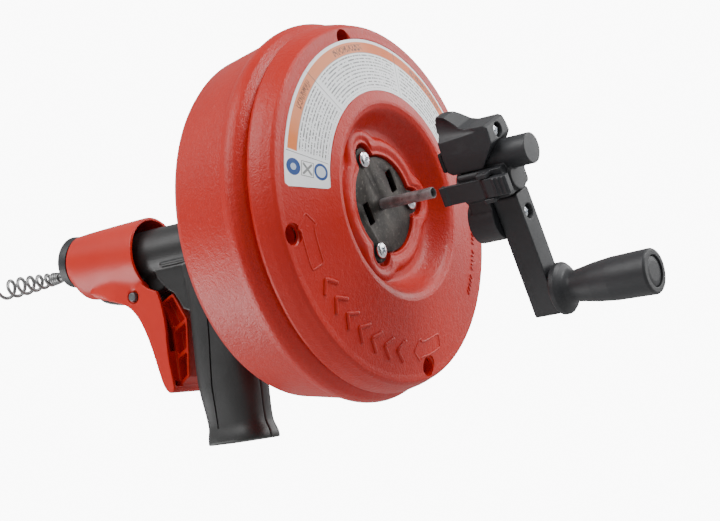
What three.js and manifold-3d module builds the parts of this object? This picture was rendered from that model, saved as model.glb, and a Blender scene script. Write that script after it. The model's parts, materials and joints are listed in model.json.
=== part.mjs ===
// Hand-held drain snake: a round cable drum turning on the neck of a pistol
// grip, a trigger sleeve with three feed rollers round the cable, and a crank
// that pushes on to the drive shaft of the drum.
// Units are millimetres.  +X runs along the drum axis from the nose to the
// crank, +Z is up and the grip points down.  The origin is on the drum axis
// at the front face of the hub plate.
import * as THREE from 'three';
import { mergeVertices } from 'three/addons/utils/BufferGeometryUtils.js';
import Module from 'manifold-3d';

// ---------------------------------------------------------------- dimensions
const GAP = 0.3;               // gap kept between touching pieces
const CABLE_R = 3.175;         // quarter inch cable
const DRUM_R = 117.5;          // largest radius of the drum
const DRUM_SEG = 36;
const PLATE_T = 2.5;           // hub plate
const PLATE_R = 29;
const HUB_SCREW_R = 30.5;      // hub screw circle
const HUB_SCREW_ANG = [119, 250, 4];
const COVER_SCREW_R = 102.3;   // deep cover screws
const COVER_SCREW_ANG = [101.5, 191.5, 281.5, 11.5];
const WELL_R = 5.9;
const SHAFT_R = 3.45;          // hollow drive shaft
const SHAFT_BORE = 2.1;
const SHAFT_TIP = 37;
const LABEL = [67.6, 101.2, 22, 178];   // inner r, outer r, start, end angle
const CRANK_ANG = -67.1;       // direction of the crank arm about +X, from +Y
const CRANK_X = 60;            // front plane of the crank hub, drawn off
const PRONG_Y = 17.7, PRONG_Z = [8.5, 0.5];  // far and near prong in the crank frame
const SLOTS = [[17.4, -8.5], [-17.4, -0.5]];   // across the arm, along the arm
const SLOT_W = 5.6, SLOT_L = 13.2;
const CRANK_RADIUS = 74;
const NECK_R = 17.5;
const PIN_X = -190, PIN_Z = -25.3;       // trigger pin, along Y
const ROLLER_X = -225, ROLLER_R = 5.5, ROLLER_L = 12, ROLLER_SKEW = 25;
const LOWER_ROLLER_D = CABLE_R + GAP + ROLLER_R;
const UPPER_ROLLER_Z = 14;
const NOSE_TILT = 10, NOSE_Z = 6.8;      // slant and height of the nose ring
const GRIP_BOTTOM = -128;

const RED = 0xc83c2b, BLACK = 0x2b2d2f, STEEL = 0x9a9c9e, DARK_STEEL = 0x4a4a48,
  ZINC = 0xd5d8da, LABEL_WHITE = 0xe9ebec, POM = 0xcfcabb, RUBBER = 0x1c1d1e;

// ------------------------------------------------------------------- helpers
const wasm = await Module();
wasm.setup();
const rad = (a) => a * Math.PI / 180;
const group = new THREE.Group();

// closed mesh -> solid, with shared corners merged and faces pointing out
function solid(geo) {
  let g = geo.index ? geo.toNonIndexed() : geo.clone();
  for (const k of Object.keys(g.attributes)) if (k !== 'position') g.deleteAttribute(k);
  g = mergeVertices(g, 1e-4);
  const p = g.attributes.position.array;
  const idx = [];
  const src = g.index.array;
  let vol = 0;
  for (let i = 0; i < src.length; i += 3) {
    const [a, b, c] = [src[i], src[i + 1], src[i + 2]];
    if (a === b || b === c || a === c) continue;
    idx.push(a, b, c);
    vol += p[3 * a] * (p[3 * b + 1] * p[3 * c + 2] - p[3 * b + 2] * p[3 * c + 1])
      - p[3 * a + 1] * (p[3 * b] * p[3 * c + 2] - p[3 * b + 2] * p[3 * c])
      + p[3 * a + 2] * (p[3 * b] * p[3 * c + 1] - p[3 * b + 1] * p[3 * c]);
  }
  if (vol < 0) for (let i = 0; i < idx.length; i += 3) [idx[i], idx[i + 1]] = [idx[i + 1], idx[i]];
  return new wasm.Manifold(new wasm.Mesh({
    numProp: 3, vertProperties: new Float32Array(p), triVerts: new Uint32Array(idx) }));
}
function geometry(man) {
  const m = man.getMesh();
  const g = new THREE.BufferGeometry();
  const n = m.numProp, count = m.vertProperties.length / n;
  const pos = new Float32Array(count * 3);
  for (let i = 0; i < count; i++) for (let k = 0; k < 3; k++) pos[3 * i + k] = m.vertProperties[n * i + k];
  g.setAttribute('position', new THREE.BufferAttribute(pos, 3));
  g.setIndex(new THREE.BufferAttribute(new Uint32Array(m.triVerts), 1));
  g.computeVertexNormals();
  return g;
}
const uni = (...m) => m.reduce((a, b) => a.add(b));
const cut = (a, ...m) => m.reduce((x, b) => x.subtract(b), a);

function add(name, man, color, roughness = 0.5, metalness = 0) {
  const mesh = new THREE.Mesh(geometry(man),
    new THREE.MeshStandardMaterial({ color, roughness, metalness, name: name + '_material' }));
  mesh.name = name;
  group.add(mesh);
  return mesh;
}
// turned round X: profile of [x, r] points, closing on itself or on the axis
function lathe(profile, seg = 24, closed = true) {
  const pts = profile.map(([x, r]) => new THREE.Vector2(r, x));
  if (closed) pts.push(pts[0].clone());
  const g = new THREE.LatheGeometry(pts, seg);
  g.rotateZ(-Math.PI / 2);
  return solid(g);
}
const rod = (x0, x1, r, seg = 24) => lathe([[x0, 0], [x0, r], [x1, r], [x1, 0]], seg, false);
const ring = (x0, x1, r0, r1, seg = 24) => lathe([[x0, r0], [x0, r1], [x1, r1], [x1, r0]], seg);
// moved and turned copy, angles in degrees about X, then Y, then Z
function place(man, pos, rot = [0, 0, 0]) {
  const m = new THREE.Matrix4().compose(new THREE.Vector3(...pos),
    new THREE.Quaternion().setFromEuler(new THREE.Euler(rad(rot[0]), rad(rot[1]), rad(rot[2]), 'ZYX')),
    new THREE.Vector3(1, 1, 1));
  return man.transform(Array.from(m.elements));
}
const box = (x0, x1, y0, y1, z0, z1) => {
  const g = new THREE.BoxGeometry(x1 - x0, y1 - y0, z1 - z0);
  g.translate((x0 + x1) / 2, (y0 + y1) / 2, (z0 + z1) / 2);
  return solid(g);
};
// outline of [x, z] points carried from y0 to y1
function sideways(points, y0, y1, curve = 0) {
  const s = new THREE.Shape(points.map(([x, z]) => new THREE.Vector2(x, z)));
  const g = new THREE.ExtrudeGeometry(s, { depth: y1 - y0, bevelEnabled: false, curveSegments: curve || 6 });
  g.rotateX(Math.PI / 2);
  g.translate(0, y1, 0);
  return solid(g);
}
// outline of [y, z] points carried from x0 to x1
function along(points, x0, x1) {
  const s = new THREE.Shape(points.map(([y, z]) => new THREE.Vector2(y, z)));
  const g = new THREE.ExtrudeGeometry(s, { depth: x1 - x0, bevelEnabled: false });
  g.rotateY(Math.PI / 2);           // x->-z, z->x
  g.rotateX(Math.PI / 2);           // -z->y
  g.translate(x0, 0, 0);
  return solid(g);
}
// skin through sections: a cylinder whose rings take the shape fn(s, angle)
function loft(fn, rings, seg) {
  const g = new THREE.CylinderGeometry(1, 1, 1, seg, rings);
  const p = g.attributes.position;
  for (let i = 0; i < p.count; i++) {
    const x = p.getX(i), y = p.getY(i), z = p.getZ(i);
    const r = Math.hypot(x, z);
    const v = fn(y + 0.5, Math.atan2(z, x), r < 0.5 ? 0 : 1);
    p.setXYZ(i, v[0], v[1], v[2]);
  }
  return solid(g);
}
// smooth value through a table of rows, first column the key
function table(rows, key) {
  const n = rows.length;
  if (key <= rows[0][0]) return rows[0].slice(1);
  if (key >= rows[n - 1][0]) return rows[n - 1].slice(1);
  let i = 0;
  while (rows[i + 1][0] < key) i++;
  const t = (key - rows[i][0]) / (rows[i + 1][0] - rows[i][0]);
  return rows[i].slice(1).map((v, k) => v + (rows[i + 1][k + 1] - v) * t);
}
const polar = (r, a) => [r * Math.cos(rad(a)), r * Math.sin(rad(a))];
const circle = (r, n, cy = 0, cz = 0) =>
  Array.from({ length: n }, (_, i) => [cy + r * Math.cos(2 * Math.PI * i / n), cz + r * Math.sin(2 * Math.PI * i / n)]);

// ---------------------------------------------------------------------- drum
// rear shell: deep bowl with a bulged rim, closed at the back round the neck
const rearOuter = [[-79, 21.6], [-79, 26], [-70, 28], [-68, 34], [-68, 88], [-75.8, 101], [-74.8, 104.8],
  [-68, 107.5], [-33, 114.2], [-32.3, 115.3], [-29, 117.0], [-25.3, DRUM_R], [-21, 116.3], [-16.2, 111.2]];
const rearInner = [[-16.2, 108.2], [-22, 113.2], [-27, 114.2], [-34, 110.8], [-68.4, 104], [-71.5, 98.5], [-65.2, 90], [-65.2, 34],
  [-66.6, 29], [-66.6, 21.6]];
const rearProfile = [...rearOuter, ...rearInner];
let rearShell = lathe(rearProfile, DRUM_SEG);
// envelope used to trim the screw posts to the drum
const envelope = lathe([[-72, 0], [-72, 103.5], [-68, 106.2], [-50, 109.7], [-33, 112.9], [-25.3, 116], [-17, 111],
  [-17, 0]], DRUM_SEG, false);
for (const a of COVER_SCREW_ANG) {
  const [y, z] = polar(COVER_SCREW_R, a);
  const post = place(rod(-70.5, -16.6, 6.2, 10), [0, y, z]).intersect(envelope);
  rearShell = rearShell.add(post).subtract(place(rod(-30, -10, 2.2, 8), [0, y, z]));
}
add('drum_rear_shell', rearShell, RED, 0.42);

// front cover: band, conical face, dished centre with a three-lobed opening
const coverOuter = [[-15.8, 111.0], [-14.6, 113.8], [-6, 112.7], [-1, 111.1], [1.6, 109.2], [2.1, 105],
  [3.0, 101.5], [10.9, 67.3], [12.3, 61], [11.2, 56.5], [4.4, 50.8], [1.4, 47.4], [1.0, 44.5], [2.0, 41], [2.2, 33], [1.3, 22]];
const coverInner = [[-1.3, 22], [-1.0, 35], [-1.6, 45], [-0.6, 49.6], [8.7, 59], [7.9, 66.2], [-0.3, 101.2], [-2.0, 107.4],
  [-7, 109.8], [-15.8, 110.0]];
let cover = lathe([...coverOuter, ...coverInner], DRUM_SEG);
const lobes = (rMain, rLobe, x0, x1, reach = 0) => uni(rod(x0, x1, rMain, 30),
  ...HUB_SCREW_ANG.map((a) => { const [y, z] = polar(HUB_SCREW_R + reach, a); return place(rod(x0, x1, rLobe, 14), [0, y, z]); }));
// wall round the opening, down to the seat of the plate
const wallOut = lobes(33, 11.2, -6, 2.4, 1.2).intersect(lathe([[-6, 0], [-6, 46], [1.9, 46], [1.9, 34], [1.3, 33],
  [1.3, 0]], 30, false));
cover = uni(cover, wallOut);
cover = cut(cover, lobes(30, 8.7, -2.8, 6, 1.2), rod(-8, 6, 26, 24));
const coverEnvelope = lathe([[-14, 0], [-14, 113.2], [-9, 112.6], [-4, 111.5], [0, 110.0], [1.2, 108.8], [1.7, 105.5],
  [2.6, 101.5], [2.6, 0]], DRUM_SEG, false);
for (const a of COVER_SCREW_ANG) {
  const [y, z] = polar(COVER_SCREW_R, a);
  cover = cover.add(place(rod(-14, 3, 7.6, 12), [0, y, z]).intersect(coverEnvelope));
  cover = cut(cover, place(rod(-9, 6, WELL_R, 12), [0, y, z]), place(rod(-20, 0, 2.4, 8), [0, y, z]));
}
for (const a of HUB_SCREW_ANG) {
  const [y, z] = polar(HUB_SCREW_R, a);
  cover = cover.subtract(place(rod(-8, 2, 2.3, 8), [0, y, z]));
}
// label seat
const sector = (a0, a1, r, x0, x1, n = 16) => along([[0, 0], ...Array.from({ length: n + 1 }, (_, i) => polar(r, a0 + (a1 - a0) * i / n))], x0, x1);
const slope = (r) => 10.9 - (r - 67.3) * (10.9 - 3.0) / (101.5 - 67.3);
const [LR0, LR1, LA0, LA1] = LABEL;
const labelBand = (r0, r1, under, over) => lathe([[slope(r0) + under, r0], [slope(r1) + under, r1], [slope(r1) + over, r1],
  [slope(r0) + over, r0]], DRUM_SEG);
cover = cover.subtract(labelBand(LR0, LR1, -0.8, 2).intersect(sector(LA0, LA1, 130, -5, 20)));
add('drum_front_cover', cover, RED, 0.42);
add('info_label', labelBand(LR0 + 0.4, LR1 - 0.4, -0.5, -0.1).intersect(sector(LA0 + 0.4, LA1 - 0.4, 130, -5, 20)), LABEL_WHITE, 0.35);

// hub plate with three ears and two slots for the crank prongs
let plate = lobes(PLATE_R, 7.2, -PLATE_T, 0);
plate = cut(plate, rod(-5, 5, SHAFT_R + GAP, 16), ...HUB_SCREW_ANG.map((a) => {
  const [y, z] = polar(HUB_SCREW_R, a); return place(rod(-5, 5, 2.3, 8), [0, y, z]); }));
// crank frame: arm along R, T across it
const armDir = polar(1, CRANK_ANG), acrossDir = [-armDir[1], armDir[0]];
const inCrank = (man, x) => place(man, [x, 0, 0], [CRANK_ANG + 90, 0, 0]);
// in the crank frame the arm points to -Z, and +Y is across it
for (const [t, r] of SLOTS) plate = plate.subtract(inCrank(box(-6, 6, t - SLOT_W / 2, t + SLOT_W / 2, -r - SLOT_L / 2, -r + SLOT_L / 2), 0));
add('hub_plate', plate, DARK_STEEL, 0.5, 0.8);
// hollow shaft, riveted over behind the plate
add('drive_shaft', lathe([[-10, SHAFT_BORE], [-10, SHAFT_R + 3], [-PLATE_T - GAP, SHAFT_R + 3], [-PLATE_T - GAP, SHAFT_R],
  [SHAFT_TIP - 0.4, SHAFT_R], [SHAFT_TIP, SHAFT_R - 0.4], [SHAFT_TIP, SHAFT_BORE]], 16), STEEL, 0.35, 0.9);
const panHead = (x, rHead, h, rShank, len, seg = 12) => lathe([[x - len, 0], [x - len, rShank], [x + GAP, rShank],
  [x + GAP, rHead], [x + GAP + h * 0.5, rHead], [x + GAP + h, rHead * 0.6], [x + GAP + h, 0]], seg, false);
HUB_SCREW_ANG.forEach((a, i) => {
  const [y, z] = polar(HUB_SCREW_R, a);
  add(`hub_screw_${i + 1}`, place(panHead(0, 5, 2.8, 2, 13), [0, y, z]), ZINC, 0.25, 1);
});
COVER_SCREW_ANG.forEach((a, i) => {
  const [y, z] = polar(COVER_SCREW_R, a);
  add(`cover_screw_${i + 1}`, place(panHead(-9, 4, 2.2, 1.9, 14), [0, y, z]), ZINC, 0.25, 1);
});
// stored cable and the guide that leads it to the axis
add('cable_coil', lathe([[-62, 64], [-62, 90], [-58, 94.5], [-28, 94.5], [-24, 90], [-24, 64], [-28, 60], [-58, 60]], 24), 0x8b8e90, 0.4, 0.9);
const guidePath = new THREE.CatmullRomCurve3([[-118, 0, 0], [-100, 0, 0], [-80, 0, 0], [-62, 0, 0], [-50, 0, 0.2], [-42, 0, 4],
  [-36, 0, 13], [-34, 0, 28], [-35, 0, 44], [-38, 0, 58]].map((v) => new THREE.Vector3(...v)));
function tube(path, r, seg, steps) {
  const s = new THREE.Shape(circle(r, seg).map(([a, b]) => new THREE.Vector2(a, b)));
  return solid(new THREE.ExtrudeGeometry(s, { steps, bevelEnabled: false, extrudePath: path }));
}
const guideLong = new THREE.CatmullRomCurve3([[-120, 0, 0], [-100, 0, 0], [-80, 0, 0], [-62, 0, 0], [-50, 0, 0.2], [-42, 0, 4],
  [-36, 0, 13], [-34, 0, 28], [-35, 0, 44], [-38.5, 0, 60]].map((v) => new THREE.Vector3(...v)));
add('inner_guide_tube', tube(guidePath, 5, 8, 14).subtract(tube(guideLong, 3.7, 8, 15)), STEEL, 0.4, 0.9);
add('bearing_bush', lathe([[-81, NECK_R + GAP], [-81, 25.5], [-79.3, 25.5], [-79.3, 21.3], [-66, 21.3], [-66, NECK_R + GAP]], 24), POM, 0.5);

// --------------------------------------------------------------------- cable
add('cable_lead', rod(-264, -112, CABLE_R, 12), 0x8b8e90, 0.35, 0.9);
class Helix extends THREE.Curve {
  getPoint(t, target = new THREE.Vector3()) {
    const turns = 7.2, x = -265.3 - 54 * (0.72 * t + 0.28 * t * t);
    const r = 2.4 + 3.3 * Math.min(1, t * 1.25);
    const a = 2 * Math.PI * turns * t;
    return target.set(x, r * Math.cos(a), r * Math.sin(a));
  }
}
add('auger_tip', tube(new Helix(), 0.65, 5, 60), 0x8b8e90, 0.35, 0.9);

// -------------------------------------------------------------------- handle
const neck = lathe([[-203, 0], [-203, 15.5], [-201, NECK_R], [-64, NECK_R], [-64, 0]], 24, false);
// grip: rounded section that swells for the palm and flares at the butt
const gripRows = [[GRIP_BOTTOM, -129, 21.5, 18.2], [-124, -129, 21.3, 18], [-116, -129.8, 19.6, 16.6], [-90, -131.5, 21.2, 17.4],
  [-65, -132, 20.6, 17], [-42, -132.1, 20.2, 16.2], [-24, -131.5, 22, 15.6], [-8, -131.5, 27, 15]];
const grip = loft((s, a, k) => {
  const z = -8 + (GRIP_BOTTOM + 8) * (1 - s);
  const [xc, hx, hy] = table(gripRows, z);
  const c = Math.cos(a), d = Math.sin(a), e = 0.64;
  return [xc + k * hx * Math.sign(c) * Math.abs(c) ** e, k * hy * Math.sign(d) * Math.abs(d) ** e, z];
}, 9, 20);
const lug = sideways([[-228, -18], [-224, -23.5], [-214, -27], [-200, -29.5], [-190, -31], [-182, -29], [-174, -23.5], [-160, -22],
  [-150, -24], [-146, -30], [-146, -10], [-203, -10], [-208, -15]], -9, 9);
// raised beads along both sides of the neck
const beadLow = (side) => place(rod(0, 60, 1.3, 8), [-166, side * 15.6, -9.6]);
let handle = uni(neck, grip, lug, beadLow(1), beadLow(-1));
handle = cut(handle, rod(-240, -50, 7 + GAP, 20),                                   // neck tube
  box(-213, -198.5, -20, 20, -16.5, 25),                                            // room for the roller carrier
  place(rod(-15, 15, 3.0, 14), [PIN_X, 0, PIN_Z], [0, 0, 90]));                     // trigger pin
handle = handle.intersect(box(-230, -60, -60, 60, GRIP_BOTTOM, 60));
const gripScrews = [['grip_screw_top', -96, -11.5], ['grip_screw_middle', -133, -52], ['grip_screw_bottom', -129, -108]];
let right = handle.intersect(box(-240, -50, GAP / 2, 60, -140, 60));
let left = handle.intersect(box(-240, -50, -60, -GAP / 2, -140, 60));
// hollow of the grip, open between the halves
const hollow = loft((s, a, k) => {
  const z = -34 + (GRIP_BOTTOM + 38) * (1 - s);
  const [xc, hx, hy] = table(gripRows, z);
  const c = Math.cos(a), d = Math.sin(a), e = 0.64;
  return [xc + k * (hx - 3) * Math.sign(c) * Math.abs(c) ** e, k * (hy - 3) * Math.sign(d) * Math.abs(d) ** e, z];
}, 4, 14);
left = left.subtract(hollow); right = right.subtract(hollow);
for (const [name, x, z] of gripScrews) {
  right = right.add(place(rod(GAP / 2, 14.6, 5.2, 14), [x, 0, z], [0, 0, 90]).intersect(uni(grip, neck)));
  left = left.add(place(rod(-14.6, -GAP / 2, 5.2, 14), [x, 0, z], [0, 0, 90]).intersect(uni(grip, neck)));
  right = cut(right, place(rod(9, 30, 4.2, 14), [x, 0, z], [0, 0, 90]), place(rod(-2, 20, 2, 12), [x, 0, z], [0, 0, 90]));
  left = left.subtract(place(rod(-10, 2, 2, 12), [x, 0, z], [0, 0, 90]));
}
left = left.subtract(rod(-240, -50, 7 + GAP, 20));
right = right.subtract(rod(-240, -50, 7 + GAP, 20));
add('grip_left_shell', left, BLACK, 0.55);
add('grip_right_shell', right, BLACK, 0.55);
for (const [name, x, z] of gripScrews) {
  // head sunk in the right shell, thread in the left one
  const s = lathe([[-8.5, 0], [-8.5, 1.6], [9.3, 1.6], [9.3, 3.7], [10.8, 3.7], [11.8, 2.4], [11.8, 0]], 12, false);
  add(name, place(s, [x, 0, z], [0, 0, 90]), ZINC, 0.3, 1);
}
add('neck_tube', ring(-201, -54.5, 5.6, 7, 16), STEEL, 0.35, 0.9);
add('retaining_washer', ring(-63.7, -61.9, 7 + GAP, 24, 16), ZINC, 0.3, 1);
add('retaining_nut', cut(along(circle(13, 6), -61.5, -55.5), rod(-70, -50, 7 + GAP, 16)), ZINC, 0.3, 1);

// carrier of the two lower feed rollers, a trough under the cable
const rollerAxis = (a) => {            // turned so that the roller faces the axis at angle a, and skewed
  return (man) => place(place(man, [0, 0, 0], [0, 0, ROLLER_SKEW]), [ROLLER_X, ...polar(LOWER_ROLLER_D, a)], [a - 90, 0, 0]);
};
const LOWER = [-36, 216];
let carrier = cut(rod(-234, -204, 14.2, 22), box(-250, -190, -30, 30, 1.5, 30), rod(-250, -190, 4.3, 14));
carrier = carrier.add(cut(ring(-212.7, -203.5, 7.3, 14.2, 22)));
for (const a of LOWER) {
  const at = rollerAxis(a);
  carrier = cut(carrier, at(rod(-ROLLER_L / 2 - 0.6, ROLLER_L / 2 + 0.6, ROLLER_R + 0.8, 16)), at(rod(-ROLLER_L / 2 - 4.3, ROLLER_L / 2 + 4.3, 1.8, 8)));
}
add('roller_carrier', carrier, BLACK, 0.5);
const roller = ring(-ROLLER_L / 2, ROLLER_L / 2, 1.8, ROLLER_R, 16);
const rollerPin = rod(-ROLLER_L / 2 - 4, ROLLER_L / 2 + 4, 1.4, 10);
add('lower_roller_right', rollerAxis(LOWER[0])(roller), POM, 0.4);
add('lower_roller_pin_right', rollerAxis(LOWER[0])(rollerPin), STEEL, 0.3, 1);
add('lower_roller_left', rollerAxis(LOWER[1])(roller), POM, 0.4);
add('lower_roller_pin_left', rollerAxis(LOWER[1])(rollerPin), STEEL, 0.3, 1);

// ------------------------------------------------------------------- trigger
// sleeve sections: x, half width, top, bottom, slant of the nose
const sleeveRows = [[-243.5, 17.2, 24.0, -10.4, 1], [-238, 17.8, 24.3, -17.6, 0.8], [-232, 18.5, 24.6, -20.2, 0.5],
  [-215, 20.3, 25.1, -21.4, 0], [-198, 22.5, 25.5, -23, 0], [-181, 24.6, 25.8, -23.8, 0]];
const tanTilt = Math.tan(rad(NOSE_TILT));
const sleeveAt = (x, a, k, off) => {
  const [w0, top0, bot0, sl] = table(sleeveRows, x);
  const w = w0 - off, top = top0 - off, bot = bot0 + off, zc = top0 - w0;
  const z = zc + k * (Math.sin(a) > 0 ? top - zc : zc - bot) * Math.sin(a);
  return [x + sl * tanTilt * (z - NOSE_Z), k * w * Math.cos(a), z];
};
const sleeveOuter = loft((s, a, k) => sleeveAt(-243.5 + 62.5 * (1 - s), a, k, 0), 8, 28);
const sleeveInner = loft((s, a, k) => sleeveAt(-243.5 + 2.4 + 64 * (1 - s), a, k, 2.2), 7, 28);
const sleeveMouth = place(rod(-12, 12, 14.3, 24), [-243.5, 0, NOSE_Z], [0, NOSE_TILT, 0]);
const leverSide = [[-226, -14], [-222, -20], [-214, -22.8], [-205, -25.4], [-197.5, -28.6], [-192.5, -33], [-187.6, -40], [-183.4, -50],
  [-180, -62], [-177.2, -75], [-174.6, -86], [-170.5, -91.5], [-166, -90], [-166.4, -82], [-167.6, -70], [-167.4, -58], [-166.3, -46], [-166.6, -34], [-168.5, -26], [-171, -21], [-176, -14]];
const leverIn = [[-222, -8], [-214, -18], [-196, -24], [-189.8, -34.4], [-185, -41.4], [-180.9, -51], [-177.5, -62.6], [-174.7, -75.6], [-172.4, -85.6],
  [-160, -88], [-160, -8]];
let trigger = sleeveOuter.subtract(sleeveInner);
const lever = cut(sideways(leverSide, -17, 17), sideways(leverIn, -14.4, 14.4));
trigger = uni(trigger, lever.subtract(sleeveInner));
// open the sleeve over the lug and between the cheeks
trigger = cut(trigger, sideways([[-231, -12], [-231, -29], [-214, -31.5], [-203, -33.5], [-196, -36], [-188, -38], [-160, -38], [-160, -12]], -10.2, 10.2), sleeveMouth);
// ribbed box behind the cheeks, tied to the front wall of the lever
const ribs = [[-182.4, -50], [-174.4, -31.2], [-164.4, -27.2], [-155.6, -45.4], [-157.6, -64], [-160, -82], [-168, -87], [-175.4, -82]];
let ribBox = sideways(ribs, -8, 8);
const cells = [[[-173, -32.4], [-165, -29.2], [-157.2, -45.2], [-166.6, -49.4]],
  [[-167.4, -51.8], [-157, -47.2], [-159, -63.6], [-167, -67]], [[-167, -69.2], [-159.2, -66], [-161.4, -80.8], [-167.4, -84.4]],
  [[-169, -50.4], [-168.8, -83.6], [-173.6, -80.6], [-180.4, -50.8], [-174.4, -35.8]]];
for (const c of cells) for (const [y0, y1] of [[0.9, 9], [-9, -0.9]]) ribBox = ribBox.subtract(sideways(c, y0, y1));
const tie = sideways([[-180, -64], [-175.6, -83], [-168.2, -83], [-169, -64]], -14.6, 14.6);
trigger = uni(trigger, ribBox, tie);
// lugs for the upper roller
for (const side of [-1, 1]) {
  const l = place(box(side > 0 ? ROLLER_L / 2 + 0.6 : -ROLLER_L / 2 - 4.6, side > 0 ? ROLLER_L / 2 + 4.6 : -ROLLER_L / 2 - 0.6, -4, 4, -3.2, 11),
    [ROLLER_X, 0, UPPER_ROLLER_Z], [0, 0, ROLLER_SKEW]);
  trigger = trigger.add(l.intersect(sleeveOuter));
}
const upper = (man) => place(man, [ROLLER_X, 0, UPPER_ROLLER_Z], [0, 0, ROLLER_SKEW]);
trigger = cut(trigger, upper(rod(-11, 11, 1.7, 12)), place(rod(-30, 30, 3.0, 16), [PIN_X, 0, PIN_Z], [0, 0, 90]),
  place(rod(9.8, 14.4, 5.3, 16), [PIN_X, 0, PIN_Z], [0, 0, 90]));
add('trigger_sleeve', trigger, RED, 0.38);
add('upper_roller', upper(roller), POM, 0.4);
add('upper_roller_pin', upper(rod(-10.2, 10.2, 1.4, 12)), STEEL, 0.3, 1);
add('trigger_pin', place(lathe([[-19.6, 0], [-19.6, 2.8], [-18.9, 3.5], [-17.4, 3.5], [-17.4, 2.7], [18.8, 2.7], [19.2, 2.3], [19.2, 0]], 18, false),
  [PIN_X, 0, PIN_Z], [0, 0, 90]), STEEL, 0.35, 0.9);
add('trigger_return_spring', place(ring(10.4, 14.0, 3.4, 4.8, 18), [PIN_X, 0, PIN_Z], [0, 0, 90]), STEEL, 0.3, 1);
// black ring at the nose, slanted with the sleeve
add('nose_ring', place(lathe([[-8.4, 13.3], [-8.4, 15.5], [-7.2, 16.9], [-0.4, 17.2], [-0.4, 13.9], [2.2, 13.9], [2.2, 12.8], [-4, 12.8]], 24),
  [-243.5 - 0.2, 0, NOSE_Z], [0, NOSE_TILT, 0]), BLACK, 0.5);

// --------------------------------------------------------------------- crank
// built in the crank frame: x from the front plane of the hub, arm along -z, y across
const C = (man) => inCrank(man, CRANK_X);
const rounded = (y0, y1, z0, z1, r, n = 3) => {
  const out = [];
  for (const [cy, cz, a0] of [[y1 - r, z1 - r, 0], [y0 + r, z1 - r, 90], [y0 + r, z0 + r, 180], [y1 - r, z0 + r, 270]])
    for (let i = 0; i <= n; i++) out.push([cy + r * Math.cos(rad(a0 + 90 * i / n)), cz + r * Math.sin(rad(a0 + 90 * i / n))]);
  return out;
};
// hub: bar across the axis, socket for the shaft, cup under the arm, round boss behind
let hub = uni(along(rounded(-13, 13, -9, 9.6, 3), 3, 34), rod(-1, 36, 9.5, 24),
  place(rod(0, 17.4, 13.5, 24), [0, 0, -23.5]), box(3, 17.4, -11, 11, -24, -6),
  place(rod(4, 50, 9.2, 20), [0, 0, 13]), box(8, 20, -5, 5, 12, 33));
hub = cut(hub, rod(-5, 33, SHAFT_R + 0.4, 16), place(rod(-5, 12, 11, 20), [0, 0, -23.5]), place(rod(-5, 60, 2.1, 10), [0, 0, -23.5]),
  place(rod(5, 40, 2.1, 10), [0, 0, 28]));
// forks that hold the two latches, and the pockets of their springs
const LATCH_X = 24, LATCH_PIN_Y = 18;
PRONG_Z.forEach((zc, i) => {
  const side = i === 0 ? 1 : -1;
  const yy = (a, b) => side > 0 ? [a, b] : [-b, -a];
  const [p0, p1] = yy(11, 14.8), [e0, e1] = yy(13.3, 21.4);
  hub = uni(hub, box(18, 34, ...yy(13.3, 14.8), Math.max(-9, zc - 8.9), zc + 8.9), box(18, 34, p0, p1, Math.max(-9, zc - 8.9), 9.6),
    box(20.4, 27.6, e0, e1, zc + 6.2, zc + 8.9), box(20.4, 27.6, e0, e1, zc - 8.9, zc - 6.2));
  hub = cut(hub, place(rod(-12, 12, 1.6, 10), [LATCH_X, side * LATCH_PIN_Y, zc], [0, 90, 0]),
    place(rod(10.2, 16, 2.5, 12), [31, 0, Math.min(zc, 5.5)], [0, 0, side * 90]));
});
// block above the hub, hollowed for the tongue and scooped for a finger
const blockSide = [[-1.6, 12.2], [-1.2, 43.4], [1.5, 45.6], [8, 45.6], [12, 44], [18.5, 36.4], [24, 35], [31, 35], [33, 33.2], [33, 23.5], [22, 10.2], [1, 10.2]];
let block = sideways(blockSide, -13, 13).intersect(along([[-13, 4], [-13, 21.5], [-11.6, 35], [-8.4, 46], [0.5, 46], [5.5, 43.5], [9.8, 36], [13, 26], [13, 4]], -6, 50));
block = uni(block, place(rod(-2.4, 2, 3.2, 12), [0, -6.5, 39.5]));
block = cut(block, place(rod(-5, 60, 9.2 + GAP, 20), [0, 0, 13]), rod(-5, 60, 9.5 + GAP, 24),
  box(7.7, 20.3, -5.3, 5.3, 9, 33.3), place(rod(15, 60, 2.1, 10), [0, 0, 28]), place(rod(29, 60, 4.4, 14), [0, 0, 28]));
add('crank_hub', C(hub), BLACK, 0.5);
add('crank_hub_block', C(block), BLACK, 0.5);
add('block_screw', C(place(panHead(29, 4, 2.4, 1.8, 18), [0, 0, 28])), ZINC, 0.3, 1);
add('crank_foot_pad', C(along(rounded(-12.4, -5.4, 12.6, 24.6, 1.5, 2), -4.2, -1.9)), RUBBER, 0.8);
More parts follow.
